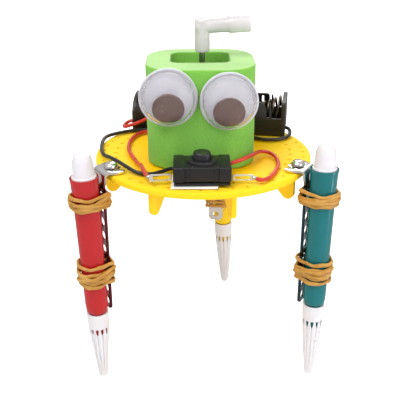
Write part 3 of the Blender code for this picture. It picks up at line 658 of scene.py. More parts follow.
# ================================================================ wires
WIRES = {
    "wire_red_battery": ("w_red", "wire_red", [
        (-25.6, 27.1, 81.0), (-27.6, 27.4, 80.7), (-29.5, 26.2, 79.9), (-29.7, 24.0, 79.5), (-27.0, 22.2, 80.7),
        (-23.5, 21.4, 82.2), (-20.0, 20.3, 84.0), (-16.6, 17.8, 84.9), (-14.0, 15.7, 83.7), (-13.6, 15.3, 81.4),
        (-15.4, 16.4, 79.8), (-17.8, 18.0, 79.3), (-20.6, 18.6, 79.2), (-23.6, 16.6, 79.2), (-25.9, 10.8, 79.2),
        (-26.5, 3.0, 79.2), (-25.7, -3.5, 79.2), (-23.6, -10.4, 79.2), (-22.0, -16.2, 79.6), (-20.8, -20.6, 80.9),
        (-19.9, -24.6, 81.15), (-18.8, -28.4, 80.9), (-18.1, -30.2, 80.7)]),
    "wire_red_motor": ("w_red", "wire_red", [
        (15.9, -31.6, 80.2), (17.2, -31.6, 79.8), (19.4, -29.4, 79.2), (21.6, -25.8, 79.1), (23.8, -20.0, 79.1),
        (24.8, -14.4, 79.1), (24.4, -9.0, 79.2), (22.4, -5.8, 79.5), (19.8, -6.6, 80.1), (18.2, -10.4, 81.2),
        (15.8, -16.0, 82.3), (11.8, -20.2, 82.2), (8.6, -21.0, 81.4), (6.4, -20.8, 80.2), (5.8, -18.6, 79.75),
        (5.8, -15.0, 79.7), (5.8, -9.0, 79.8), (5.8, -5.7, 79.9)]),
    "wire_black": ("w_black", "wire_black", [
        (30.6, 17.2, 81.0), (32.0, 16.9, 80.8), (32.7, 15.2, 80.0), (31.7, 12.2, 79.2), (29.0, 9.6, 79.1),
        (25.2, 8.6, 79.1), (21.4, 9.4, 79.1), (18.0, 11.6, 79.1), (13.0, 13.9, 79.1), (6.0, 14.6, 79.1),
        (-2.0, 14.8, 79.1), (-9.0, 16.4, 79.1), (-16.4, 20.2, 79.1), (-20.6, 21.4, 79.1), (-25.8, 20.5, 79.1),
        (-31.2, 17.8, 79.1), (-35.2, 14.0, 79.1), (-36.3, 8.6, 79.1), (-35.8, 0.0, 79.1), (-34.3, -6.2, 79.3),
        (-31.7, -10.9, 80.0), (-28.1, -16.3, 80.3), (-25.0, -20.4, 80.0), (-21.9, -22.9, 79.25), (-17.7, -24.1, 79.1),
        (-14.3, -22.8, 79.3), (-11.4, -21.0, 79.6), (-8.2, -20.6, 79.8), (-6.7, -18.8, 79.75), (-6.6, -14.0, 79.7),
        (-6.6, -9.0, 79.8), (-6.6, -5.7, 79.9)]),
}
WIRE_R = 0.65
for wname, (wmat, wslot, ctrl) in WIRES.items():
    line = [P(*q) for q in smooth_path(ctrl, 0.9)]
    v, f = sweep_data(line, circle(WIRE_R, 14))
    wire = make(wname + "_insulation", v, f, wmat, "body", slot=wslot, replaces=(wname,), smooth=60)

# ================================================================ chassis disc
DISC_R, DISC_TOP, DISC_T = 37.7, 78.1, 2.4
ZB = DISC_TOP - DISC_T
SCREW_R = 35.8
LEGS = (
    ("red", 210.4, 27.2, (-37.1, -23.2), (-39.0, -24.0, 78.4), 27.3, "above"),
    ("teal", 330.0, 28.5, (38.0, -23.5), (39.1, -22.2, 78.3), 29.1, "above"),
    ("yellow", 81.2, 32.4, (10.5, 43.9), (7.9, 44.5, 78.3), 29.0, "below"),
)
BASE = TM(0, 0, 0)


def build_disc():
    prof = [(0, DISC_TOP), (DISC_R - 0.95, DISC_TOP)] + [
        (DISC_R - 0.95 + 0.95 * math.sin(math.radians(a)), DISC_TOP - 0.95 + 0.95 * math.cos(math.radians(a)))
        for a in (22, 45, 68, 90)] + [(DISC_R, ZB + 0.35), (DISC_R - 0.1, ZB + 0.1), (DISC_R - 0.35, ZB), (0, ZB)]
    me = raw(*lathe_data(prof, 120))
    cutters, ops = [], []
    for k in range(8):
        ang = 15.0 + 45.0 * k
        tip_r, tx, tz = 2.3, 35.0 - 2.3, ZB - 9.0 + 2.3
        fin = [(22.2, ZB + 0.6), (22.2, ZB)] + [(22.9, ZB - 0.15), (23.8, ZB - 0.6)]
        fin += arc(tx, tz, tip_r, 216, 360, 12)
        fin += [(35.0, ZB - 1.0), (35.25, ZB - 0.3), (35.6, ZB), (35.6, ZB + 0.6)]
        fin_me = plate_mesh([fin], -0.9, 0.9, 0.22, RZ(ang) @ RX(90))
        cutters.append(fin_me)
        ops.append("UNION")
    holes = []
    for r, n, ph in ((30.6, 38, 2.0), (35.0, 44, 5.5)):
        for i in range(n):
            a = math.tau * i / n + math.radians(ph)
            if any(abs((math.degrees(a) - ang + 180) % 360 - 180) < 11.5 and r > 33 for _, ang, *_r in LEGS):
                continue
            x, y = r * math.cos(a), r * math.sin(a)
            v, f = lathe_data([(0, DISC_TOP + 1), (0.72, DISC_TOP + 1), (0.72, DISC_TOP - 0.0), (0.6, DISC_TOP - 0.12),
                               (0.6, DISC_TOP - 1.5), (0, DISC_TOP - 1.5)], 12, Matrix.Translation(S3((x, y, 0))))
            holes.append(raw(v, f))
    for _, ang, *_r in LEGS:
        a = math.radians(ang)
        v, f = lathe_data([(0, DISC_TOP + 2), (1.2, DISC_TOP + 2), (1.2, ZB - 2), (0, ZB - 2)], 20,
                          Matrix.Translation(S3((SCREW_R * math.cos(a), SCREW_R * math.sin(a), 0))))
        holes.append(raw(v, f))
    cutters.append(join(holes))
    ops.append("DIFFERENCE")
    me = cut_mesh(me, cutters, ops)
    me.transform(BASE)
    return put("disc_moulding", me, "disc", "body", 32, ("chassis_disc",))


build_disc()


# ================================================================ foam block
def build_foam():
    cx, cy, hx, hy, rc = -1.0, -3.0, 18.0, 15.9, 10.8
    z0, z1 = 78.4, 111.7
    n = 22

    def ring(ccx, ccy, hhx, hhy, r):
        return rrect(ccx, ccy, hhx, hhy, r, n)

    verts, faces = [], []
    rings = []

    def add(pts, z, amp=0.0, tilt=0.0):
        idx = []
        m = len(pts)
        for i, (x, y) in enumerate(pts):
            k = amp * wobble(x, y, z, 0.22) + amp * 0.35 * wobble(y, x, z, 0.8)
            d = Vector((x - cx, y - cy))
            d = d.normalized() if d.length > 0 else d
            idx.append(len(verts))
            verts.append(S3((x + d.x * k, y + d.y * k, z + tilt * wobble(x, y, 0, 0.15))))
        rings.append(idx)

    outer = ring(cx, cy, hx, hy, rc)
    slot = ring(-1.1, -0.8, 9.8, 7.8, 3.4)
    pocket = ring(-0.5, -0.8, 10.5, 7.9, 5.0)
    # underside, outwards
    add(pocket, z0)
    add([(cx + (x - cx) * 0.985, cy + (y - cy) * 0.985) for x, y in outer], z0)
    add([(cx + (x - cx) * 0.996, cy + (y - cy) * 0.996) for x, y in outer], z0 + 0.15)
    levels = 16
    for i in range(levels + 1):
        z = z0 + 0.7 + (z1 - 1.3 - z0) * i / levels
        add(outer, z, 0.09)
    for s, dz in ((0.993, 0.28), (0.978, 0.06), (0.955, 0.0)):
        add([(cx + (x - cx) * s, cy + (y - cy) * s) for x, y in outer], z1 - dz, 0.05, 0.05)
    steps = 5
    for i in range(1, steps):
        t = i / steps
        add([((cx + (a[0] - cx) * 0.955) * (1 - t) + b[0] * t, (cy + (a[1] - cy) * 0.955) * (1 - t) + b[1] * t)
             for a, b in zip(outer, [(-1.1 + (x + 1.1) * 1.04, -0.8 + (y + 0.8) * 1.04) for x, y in slot])],
            z1, 0.0, 0.07)
    add([(-1.1 + (x + 1.1) * 1.03, -0.8 + (y + 0.8) * 1.03) for x, y in slot], z1, 0.0, 0.05)
    add([(-1.1 + (x + 1.1) * 1.008, -0.8 + (y + 0.8) * 1.008) for x, y in slot], z1 - 0.16)
    for i in range(6):
        add(slot, z1 - 0.6 - (z1 - 0.6 - 105.3) * i / 5, 0.05)
    add(pocket, 105.2)
    for z in (98.0, 90.0, 84.0):
        add(pocket, z)
    k = len(outer)
    for a, b in zip(rings, rings[1:] + rings[:1]):
        for i in range(k):
            j = (i + 1) % k
            faces.append((a[i], a[j], b[j], b[i]))
    me = raw(verts, faces)
    notches = [block_mesh(px - 1.3, px + 1.3, -20.5, -7.0, 77.0, 80.8, 0.0) for px in (-6.6, 5.8)]
    me = cut_mesh(me, notches, ["DIFFERENCE"] * 2)
    me.transform(BASE)
    ob = put("foam_block", me, "foam", "body", 50, ("foam_body",))
    return ob


build_foam()

# ================================================================ pens
STRIP_R, STRIP_T, STRIP_W = 39.7, 0.8, 6.0


def hull(points):
    pts = sorted(set((round(x, 5), round(y, 5)) for x, y in points))

    def half(seq):
        out = []
        for p in seq:
            while len(out) > 1 and ((out[-1][0] - out[-2][0]) * (p[1] - out[-2][1])
                                    - (out[-1][1] - out[-2][1]) * (p[0] - out[-2][0])) <= 1e-6:
                out.pop()
            out.append(p)
        return out[:-1]
    return half(pts) + half(reversed(pts))


def resample(loop, n):
    pts = [Vector(p) for p in loop]
    seg = [(pts[(i + 1) % len(pts)] - pts[i]).length for i in range(len(pts))]
    total = sum(seg)
    out, k, walked = [], 0, 0.0
    for i in range(n):
        want = total * i / n
        while walked + seg[k] < want:
            walked += seg[k]
            k += 1
        out.append(pts[k].lerp(pts[(k + 1) % len(pts)], (want - walked) / max(seg[k], 1e-9)))
    return out


def ring_xy(cx, cy, r, n):
    return [(cx + r * math.cos(math.tau * i / n), cy + r * math.sin(math.tau * i / n)) for i in range(n)]


def build_band(name, label, out, tan, centre, pr, turns, seed):
    """Rubber band wound several times: each turn is a flat strand that rides over its neighbours."""
    w = STRIP_W / 2
    n = 84
    meshes = []
    for t, (za, amp, ph, lift, wide) in enumerate(turns):
        cxy = centre(za)
        cloud = ring_xy(cxy[0], cxy[1], pr(za) + 0.85 + lift, 48)
        for a in (-STRIP_T / 2, STRIP_T / 2):
            for b in (-w, w):
                q = out * (STRIP_R + a) + tan * b
                cloud += ring_xy(q.x, q.y, 1.0 + lift, 24)
        loop = resample(hull(cloud), n)
        start = min(range(n), key=lambda i: math.atan2(loop[i].y - cxy[1], loop[i].x - cxy[0]))
        loop = loop[start:] + loop[:start]
        verts, faces = [], []
        sec = 12
        c2 = Vector((sum(p.x for p in loop) / n, sum(p.y for p in loop) / n))
        for i, p in enumerate(loop):
            th = math.tau * i / n
            z = za + amp * math.sin(th + ph) + 0.22 * math.sin(3 * th + 1.7 * t + seed) \
                + 0.12 * math.sin(7 * th + 2.9 * t + seed)
            d = (loop[(i + 1) % n] - loop[i - 1]).normalized()
            nrm = Vector((d.y, -d.x))
            if nrm.dot(p - c2) < 0:
                nrm = -nrm
            roll = 0.35 * math.sin(2 * th + t * 1.3 + seed) + 0.2 * math.sin(5 * th + seed * 2 + t)
            hw = wide / 2 * (1 + 0.12 * math.sin(3 * th + seed + t))
            ht = 0.42
            push = 0.10 * math.sin(4 * th + t * 2.1 + seed)
            for s in range(sec):
                a = math.tau * s / sec
                # a rounded-rectangle section: x outwards, y upwards
                ex = math.copysign(abs(math.cos(a)) ** 0.6, math.cos(a)) * ht
                ey = math.copysign(abs(math.sin(a)) ** 0.75, math.sin(a)) * hw
                rx = ex * math.cos(roll) - ey * math.sin(roll)
                ry = ex * math.sin(roll) + ey * math.cos(roll)
                verts.append(P(p.x + nrm.x * (rx + push), p.y + nrm.y * (rx + push), z + ry))
        for i in range(n):
            for s in range(sec):
                a, b = i * sec, ((i + 1) % n) * sec
                faces.append((a + s, a + (s + 1) % sec, b + (s + 1) % sec, b + s))
        meshes.append(raw(verts, faces))
    return put("band_wound_%s_%s" % (name, label), join(meshes), "band", "body", 60,
               ("band_%s_%s" % (name, label),))


def build_pen(name, ang, z_end, tip, rim, cap_len, side, seed):
    p0 = Vector((tip[0], tip[1], 0.0))
    p1 = Vector(rim)
    axis = (p1 - p0).normalized()
    T = (p1 - p0).length + (1.6 if name == "teal" else 0.0)
    L = cap_len
    frame = TM(tip[0], tip[1], 0.0) @ axis.to_track_quat("Z", "Y").to_matrix().to_4x4()
    # barrel: a tapering tube with a thin flared lip, its nose inside the cap
    prof = [(4.42, T - 0.1), (4.6, T + 0.02), (4.78, T - 0.1), (4.8, T - 0.45), (4.62, T - 1.5), (4.52, T - 3.0),
            (4.35, T - 9), (4.22, T - 20), (4.08, L + 16), (3.95, L + 4), (3.82, L + 1.7), (3.6, L + 0.75),
            (3.35, L + 0.42), (2.9, L + 0.32), (2.82, L - 1.0), (2.78, L - 6), (2.35, L - 10.2), (1.75, L - 12),
            (1.5, L - 15), (1.2, L - 15), (1.2, L + 2.0), (3.1, L + 2.6), (3.4, T - 8), (4.2, T - 2.0)]
    lathe("pen_barrel_%s_shell" % name, prof, 56, frame, name, "body", slot=name + "_plastic", smooth=45,
          replaces=("pen_barrel_" + name,))
    # end plug: a dome with a shallow step above the lip
    plug = soft([(0, T + 8.3), (1.5, T + 8.15), (2.75, T + 7.3), (3.3, T + 5.6), (3.5, T + 3.0), (3.62, T + 0.9),
                 (3.7, T + 0.5), (4.1, T + 0.25), (4.12, T - 0.35), (3.95, T - 1.2), (3.1, T - 1.5), (3.0, T - 7.0),
                 (0, T - 7.0)], 3, 0.3)
    lathe("pen_plug_%s_dome" % name, plug, 40, frame, "plug", "body", slot="cap_white", smooth=45,
          replaces=("pen_plug_" + name,))
    # cap: fluted, with a window at the top of each flute
    outer = [(3.82, L), (3.86, L - 0.25), (3.86, L - 0.6), (3.8, L - 3), (3.62, L - 6), (3.45, L - 9), (3.25, L - 11.5),
             (3.0, 14), (2.66, 10.5), (2.3, 7), (2.02, 4), (1.75, 1.3), (1.58, 0.45), (1.2, 0.0)]
    inner = [(0, 1.8), (0.8, 2.2), (1.05, 4.6), (1.3, 7), (2.2, 14), (2.75, L - 10), (3.05, L - 7), (3.2, L - 0.2),
             (3.3, L)]
    flutes, per = 12, 12
    steps = flutes * per
    verts, faces, rings = [], [], []
    turn = math.radians({"red": 78.0, "teal": 104.0, "yellow": 84.0}[name])
    top_z = L - 5.8
    for r, z in outer:
        rings.append(list(range(len(verts), len(verts) + steps)))
        if z >= top_z or z < 1.0:
            dep = 0.0
        else:
            dep = 0.42 * min(1.0, (top_z - z) / 1.2) * min(1.0, (z - 0.9) / 3.0)
        for i in range(steps):
            a = turn + math.tau * i / steps
            u = (i % per) / per * 2 - 1            # -1..1 across one flute pitch, groove in the middle
            g = math.exp(-(u / 0.17) ** 2)
            rr = r - dep * g
            verts.append(Vector((rr * MM * math.cos(a), rr * MM * math.sin(a), z * MM)))
    c = len(verts)
    verts.append(Vector((0, 0, 0)))
    for r, z in inner:
        if r < 1e-6:
            rings.append([len(verts)])
            verts.append(Vector((0, 0, z * MM)))
        else:
            rings.append(list(range(len(verts), len(verts) + steps)))
            for i in range(steps):
                a = turn + math.tau * i / steps
                verts.append(Vector((r * MM * math.cos(a), r * MM * math.sin(a), z * MM)))
    m = len(outer)
    for a, b in zip(rings[:m], rings[1:m]):
        for i in range(steps):
            j = (i + 1) % steps
            faces.append((a[i], a[j], b[j], b[i]))
    for i in range(steps):
        faces.append((rings[m - 1][i], rings[m - 1][(i + 1) % steps], c))
    for a, b in zip(rings[m:], rings[m + 1:]):
        for i in range(steps):
            j = (i + 1) % steps
            if len(a) == 1:
                faces.append((a[0], b[i], b[j]))
            else:
                faces.append((a[i], a[j], b[j], b[i]))
    for i in range(steps):
        j = (i + 1) % steps
        faces.append((rings[0][i], rings[0][j], rings[-1][j], rings[-1][i]))
    me = raw(verts, faces)
    wins = []
    for k in range(flutes):
        a = math.degrees(turn) + 360.0 / flutes * (k + 0.5)
        wedge = [(-0.6, top_z), (0.6, top_z), (0.42, top_z - 1.5), (0.2, top_z - 2.6), (-0.2, top_z - 2.6),
                 (-0.42, top_z - 1.5)]
        wins.append(plate_mesh([wedge], -5.0, -2.7, 0.0, RZ(a + 90) @ RX(90), 0))
    me = cut_mesh(me, [join(wins)], ["DIFFERENCE"])
    me.transform(frame)
    put("pen_cap_%s_fluted" % name, me, "cap", "cap_" + name, 40, ("pen_cap_" + name,))

    # strip bracket: perforated nickel strip with a bent, screwed foot
    up = BASE @ RZ(ang)
    stand = up @ Matrix.Translation(S3((STRIP_R, 0, 0))) @ RZ(90) @ RX(90)
    top = DISC_TOP + 0.3 + STRIP_T if side == "above" else ZB - 0.3
    w, fw, nb = STRIP_W / 2, 5.5, 4.3
    outline = [(nb, top - 1.0), (nb, top - 2.2), (nb - 0.25, top - 2.9), (w + 0.4, top - 4.2), (w, top - 4.9),
               (w, z_end + 1.4), (w - 0.45, z_end + 0.55), (w - 1.3, z_end), (-w + 1.3, z_end),
               (-w + 0.45, z_end + 0.55), (-w, z_end + 1.4), (-w, top - 4.9), (-w - 0.4, top - 4.2),
               (-nb + 0.25, top - 2.9), (-nb, top - 2.2), (-nb, top - 1.0)]
    loops = [outline]
    z = z_end + 2.7
    while z < top - 4.0:
        loops.append(rrect(0, z, 1.7, 1.6, 1.45, 6) if side == "above" else ring_xy(0, z, 1.15, 22))
        z += 5.1
    me1 = plate_mesh(loops, -STRIP_T / 2, STRIP_T / 2, 0.13, stand, 1)
    # the bend, then the foot lying on the disc
    sec = []
    R = 1.0 + STRIP_T / 2
    cz, cr = top - STRIP_T / 2 - (R - STRIP_T / 2), STRIP_R - (R - STRIP_T / 2) - 0.0
    R = R - STRIP_T / 2
    pts = []
    for i in range(9):
        a = math.radians(90.0 * i / 8)
        pts.append((cr + R * math.cos(a), cz + R * math.sin(a)))
    verts, faces = [], []
    for i, (rr, zz) in enumerate([(STRIP_R, cz - 0.4)] + pts + [(cr - 0.4, top - STRIP_T / 2)]):
        a = math.radians(0 if i == 0 else (90 if i == 10 else 90.0 * (i - 1) / 8))
        nx, nz = math.cos(a), math.sin(a)
        for s, b in ((-0.399, -nb + 0.01), (-0.399, nb - 0.01), (0.399, nb - 0.01), (0.399, -nb + 0.01)):
            verts.append(S3((rr + nx * s, b, zz + nz * s)))
    for i in range(10):
        for s in range(4):
            a, b = i * 4, (i + 1) * 4
            faces.append((a + s, a + (s + 1) % 4, b + (s + 1) % 4, b + s))
    faces += [(3, 2, 1, 0), tuple(range(40, 44))]
    me2 = raw(verts, faces)
    me2.transform(up)
    foot = [(cr, -nb), (cr, nb), (38.0, nb + 0.08), (37.2, nb + 0.5), (36.4, fw - 0.2), (35.6, fw), (34.6, fw),
            (33.6, fw - 0.15), (32.9, fw - 0.6)]
    for cc in (2.75, -2.75):
        foot += [(32.75 + 1.15 * math.sin(math.radians(a)), cc + 1.15 * math.cos(math.radians(a)))
                 for a in (0, 22, 45, 67, 90, 112, 135, 158, 180)]
    foot += [(32.9, -fw + 0.6), (33.6, -fw + 0.15), (34.6, -fw), (35.6, -fw), (36.4, -fw + 0.2), (37.2, -nb - 0.5),
             (38.0, -nb - 0.08)]
    me3 = plate_mesh([foot, ring_xy(SCREW_R, 0, 1.25, 20)], top - STRIP_T, top, 0.13, up, 1)
    me = cut_mesh(me1, [me2, me3], ["UNION", "UNION"])
    put("bracket_%s_strip" % name, me, "strip_" + name if name != "yellow" else "tin", "body", 40, ("bracket_" + name,))

    # bands
    out = Vector((math.cos(math.radians(ang)), math.sin(math.radians(ang)), 0))
    tan = Vector((-out.y, out.x, 0))

    def centre(z):
        q = p0 + (p1 - p0) * (z / p1.z)
        return (q.x, q.y)

    def pr(z):
        s = z / p1.z * T
        return 3.95 + (4.35 - 3.95) * (s - L - 4) / (T - 9 - L - 4)

    top_band = 70.2 - max(0.0, 74.2 - (top - 4.9))
    upper = [(top_band + 1.5, 0.3, 0.3 + seed, 0.0, 1.25), (top_band - 1.9, 0.3, 2.1 + seed, 0.0, 1.35),
             (top_band + 0.2, 0.5, 3.1 + seed, 0.0, 1.2), (top_band - 0.95, 0.45, 5.2 + seed, 0.02, 1.2),
             (top_band - 0.3, 1.3, 4.0 + seed, 0.3, 1.25), (top_band - 0.1, 1.0, 1.1 + seed * 2, 0.5, 1.1)]
    lower = [(46.6, 0.3, 1.2 + seed, 0.0, 1.3), (44.4, 0.5, 3.3 + seed, 0.0, 1.3), (41.1, 0.45, 5.1 + seed, 0.0, 1.35),
             (39.5, 0.3, 0.4 + seed, 0.0, 1.4), (42.7, 0.4, 2.9 + seed, 0.0, 1.3), (43.9, 2.1, 2.2 + seed, 0.3, 1.5), (42.3, 2.0, 4.9 + seed, 0.5, 1.3)]
    build_band(name, "upper", out, tan, centre, pr, upper, seed)
    build_band(name, "lower", out, tan, centre, pr, lower, seed + 1.7)




def reflection_tinted_nickel(name, rgb):
    """Nickel whose long strip below the disc is painted darker and tinted: a painted reflection of the pen beside it
    and its shade.
    """
    m = shade("nickel_" + name, (0.74, 0.73, 0.71), rough=0.16, rough_var=0.07, metal=1.0, mottle=0.12, bump=0.25,
              bump_scale=420, bump_dist=0.00006, scratch=0.12)
    nt = m.node_tree
    sock = nt.nodes["Principled BSDF"].inputs["Base Color"]
    src = sock.links[0].from_socket
    tc = nt.nodes.new("ShaderNodeTexCoord")
    sp = nt.nodes.new("ShaderNodeSeparateXYZ")
    nt.links.new(tc.outputs["Object"], sp.inputs[0])
    mr = nt.nodes.new("ShaderNodeMapRange")
    mr.inputs["From Min"].default_value = 0.0765
    mr.inputs["From Max"].default_value = 0.0735
    nt.links.new(sp.outputs["Z"], mr.inputs["Value"])
    mx = nt.nodes.new("ShaderNodeMix")
    mx.data_type = "RGBA"
    ins = [s for s in mx.inputs if s.type == "RGBA"]
    nt.links.new(mr.outputs["Result"], mx.inputs["Factor"])
    nt.links.new(src, ins[0])
    ins[1].default_value = (*rgb, 1)
    nt.links.new([s for s in mx.outputs if s.type == "RGBA"][0], sock)
    return m


# painted reflection: the strips below the disc are painted in the pens' red and teal, darkened as painted shade
M["strip_red"] = reflection_tinted_nickel("red_strip_reflection", (0.20, 0.045, 0.07))
M["strip_teal"] = reflection_tinted_nickel("teal_strip_reflection", (0.045, 0.10, 0.13))
M["cap"] = shade("cap_white", srgb(251, 247, 250), rough=0.34, mottle=0.03, mottle_scale=140, bump=0.1,
                 bump_scale=320, grain=0.06, trans=0.2, sss=0.3, sss_scale=0.0015, spec=0.35)
for i, leg in enumerate(LEGS):
    build_pen(*leg, seed=0.9 * i + 0.4)

# bracket screws
for name, ang, *_r, side in LEGS:
    a = math.radians(ang)
    m = TM(SCREW_R * math.cos(a), SCREW_R * math.sin(a), DISC_TOP + 0.3 + STRIP_T + 0.3)
    shank = 4.4
    if side == "below":
        m = TM(SCREW_R * math.cos(a), SCREW_R * math.sin(a), ZB - 0.3 - STRIP_T - 0.3) @ RX(180)
        shank = 3.4
    prof = [(0, 1.7), (0.7, 1.68), (1.25, 1.55), (1.8, 1.22), (2.15, 0.75), (2.34, 0.25), (2.35, 0.06), (2.2, 0),
            (0.98, 0)]
    z = -0.2
    while z > 1.4 - shank:
        prof += [(0.8, z), (1.02, z - 0.28)]
        z -= 0.56
    prof += [(0.8, 1.2 - shank), (0.3, -shank), (0, -shank)]
    me = raw(*lathe_data(prof, 36))
    slot_me = block_mesh(-3, 3, -0.32, 0.32, 1.0, 3, 0.0, 1, RZ(ang + 35 if side == "above" else 20))
    me = cut_mesh(me, [slot_me], ["DIFFERENCE"])
    me.transform(m)
    put("bracket_screw_%s_head" % name, me, "nickel", "body", 35, ("bracket_screw_" + name,))

# ================================================================ crank
def build_crank():
    """Moulded rubber elbow: a sleeve over the motor shaft and an arm ending in a thicker sleeve."""
    r, arm_z, lean = 2.45, 121.9, math.degrees(math.atan(0.068))
    org = TM(-0.3, -0.8, 0)
    up = soft([(0, 113.6), (2.3, 113.6), (2.45, 114.2), (2.5, 116.0), (2.45, 118.5), (2.5, arm_z + 1.7), (2.15, arm_z + 2.4),
               (0, arm_z + 2.5)], 4, 0.5)
    stem = raw(*lathe_data(up[::-1], 56, Matrix.Identity(4)))
    # profile along the arm: rounded back at the elbow, slim run, then the thicker end sleeve
    prof = [(0, -2.52), (1.2, -2.5), (1.9, -2.2), (2.3, -1.6), (2.45, -0.9), (2.47, 2.0), (2.42, 4.5), (2.44, 6.8), (2.46, 7.8),
            (2.52, 8.3), (2.74, 8.7), (2.86, 9.2), (2.9, 10.5), (2.88, 13.0), (2.9, 15.3), (2.84, 15.75), (2.66, 15.95),
            (2.4, 15.98), (2.25, 15.85), (2.18, 15.5), (0, 15.4)]
    arm = raw(*lathe_data(prof[::-1], 56, Matrix.Translation(S3((0, 0, arm_z))) @ RY(90.0 - lean)))
    bore = raw(*lathe_data([(0, 117.6), (1.1, 117.6), (1.28, 117.4), (1.28, 114.1), (1.5, 113.5), (1.5, 113.0), (0, 113.0)], 40,
                           Matrix.Identity(4)))
    me = cut_mesh(stem, [arm, bore], ["UNION", "DIFFERENCE"])
    me.transform(org)
    put("crank_tube", me, "milky", "crank", 40, ("crank_elbow",))


build_crank()

# ================================================================ eyes
for side, ex, ez in (("left", -11.45, 103.25), ("right", 7.75, 101.9)):
    base = TM(ex, -19.2, ez) @ RX(90)
    back = [(0, 0.78), (6.0, 0.78), (8.15, 0.76), (8.35, 0.92), (8.6, 1.0), (8.9, 0.95), (9.1, 0.86), (9.3, 0.7),
            (9.35, 0.4), (9.3, 0.1), (9.1, 0.0), (0, 0.0)]
    lathe("eye_%s_cup" % side, back, 96, base, "eye_white", "body", slot="eye_white", smooth=30,
          replaces=("eye_%s_back" % side,))
    out_p, in_p = [], []
    R, hgt = 8.5, 6.2
    for i in range(15):
        a = math.radians(90.0 * i / 14)
        out_p.append((R * math.sin(a) ** 0.92 if i else 0.0, 1.75 + (hgt - 1.75) * math.cos(a) ** 0.85))
        in_p.append(((R - 0.45) * math.sin(a) ** 0.92 if i else 0.0, 1.45 + (hgt - 1.9) * math.cos(a) ** 0.85))
    dome = out_p + [(8.62, 1.72), (9.2, 1.72), (9.34, 1.6), (9.35, 1.25), (9.25, 1.12), (8.4, 1.1)] + in_p[::-1]
    lathe("eye_%s_lens" % side, dome, 96, base, "eye_clear", "body", slot="eye_clear", smooth=40,
          replaces=("eye_%s_dome" % side,))
    pup = soft([(0, 0.45), (5.1, 0.45), (5.1, -0.45), (0, -0.45)], 4, 0.22)
    lean = Matrix.Translation(S3((0, -3.05, 1.1 + 0.2 + 0.45 + 5.1 * math.sin(math.radians(12.0))))) @ RX(12.0)
    lathe("eye_%s_disc" % side, pup, 72, base @ lean, "pupil", "pupil_" + side, slot="eye_black", smooth=50,
          replaces=("eye_%s_pupil" % side,))

# ================================================================ push switch
X0, X1, Y0, Y1 = -10.1, 8.0, -34.65, -22.4
SCX, SCY = (X0 + X1) / 2, (Y0 + Y1) / 2


def build_switch():
    z0, z1 = 80.2, 85.1
    mid = block_mesh(X0 + 2.6, X1 - 2.9, Y0 + 0.5, Y1 - 0.5, z0, z1 - 0.12, 0.32, 3)
    left = block_mesh(X0, X0 + 3.45, Y0, Y1, z0 - 0.0, z1, 0.42, 4)
    right = block_mesh(X1 - 3.8, X1, Y0, Y1, z0 - 0.0, z1, 0.42, 4)
    ribs = [block_mesh(X0 + 4.3, X0 + 5.0, Y0 + 0.3, Y0 + 0.9, z0 + 0.05, z1 - 0.5, 0.1, 2),
            block_mesh(X1 - 5.4, X1 - 4.7, Y0 + 0.3, Y0 + 0.9, z0 + 0.05, z1 - 0.5, 0.1, 2)]
    col = soft([(0, z1 + 1.0), (4.0, z1 + 1.0), (4.62, z1 + 0.92), (4.75, z1 + 0.6), (4.85, z1 - 0.4), (0, z1 - 0.4)],
               3, 0.25)
    collar = raw(*lathe_data(col, 56, Matrix.Translation(S3((SCX, SCY, 0)))))
    cav = block_mesh(X0 + 1.0, X1 - 1.0, Y0 + 1.2, Y1 - 1.2, z0 - 1.0, z1 - 0.8, 0.0)
    bore = raw(*lathe_data([(0, z1 + 3), (3.12, z1 + 3), (3.12, z1 - 2), (0, z1 - 2)], 40,
                           Matrix.Translation(S3((SCX, SCY, 0)))))
    me = cut_mesh(mid, [left, right] + ribs + [collar, cav, bore],
                  ["UNION"] * 5 + ["DIFFERENCE"] * 2)
    me.transform(BASE)
    put("switch_shell", me, "switch", "body", 32, ("switch_case",))
    base = block_mesh(X0 + 0.25, X1 - 0.25, Y0 + 0.25, Y1 - 0.25, 79.1, 79.9, 0.2, 2)
    pins = []
    for x in (X0 + 1.7, X1 - 1.7):
        for y in (Y0 + 1.5, Y1 - 1.5):
            pins.append(raw(*lathe_data(soft([(0, 80.1), (0.7, 80.1), (0.7, 79.85), (0, 79.85)], 2, 0.1), 16,
                                        Matrix.Translation(S3((x, y, 0))))))
    me = cut_mesh(base, [join(pins)], ["UNION"])
    me.transform(BASE)
    put("switch_floor", me, "switch", "body", 35, ("switch_base",))
    top = 88.3
    prof = soft([(0, top - 0.12), (1.5, top - 0.1), (2.2, top - 0.02), (2.55, top), (2.78, top - 0.3),
                 (2.85, top - 1.0), (2.85, 84.0), (3.9, 84.0), (3.9, 83.1), (1.9, 83.1), (1.9, 82.2), (0, 82.2)],
                3, 0.18)
    lathe("switch_push_button", prof, 56, TM(SCX, SCY, 0), "button", "button", slot="switch_black", smooth=40,
          replaces=("switch_button",))


build_switch()

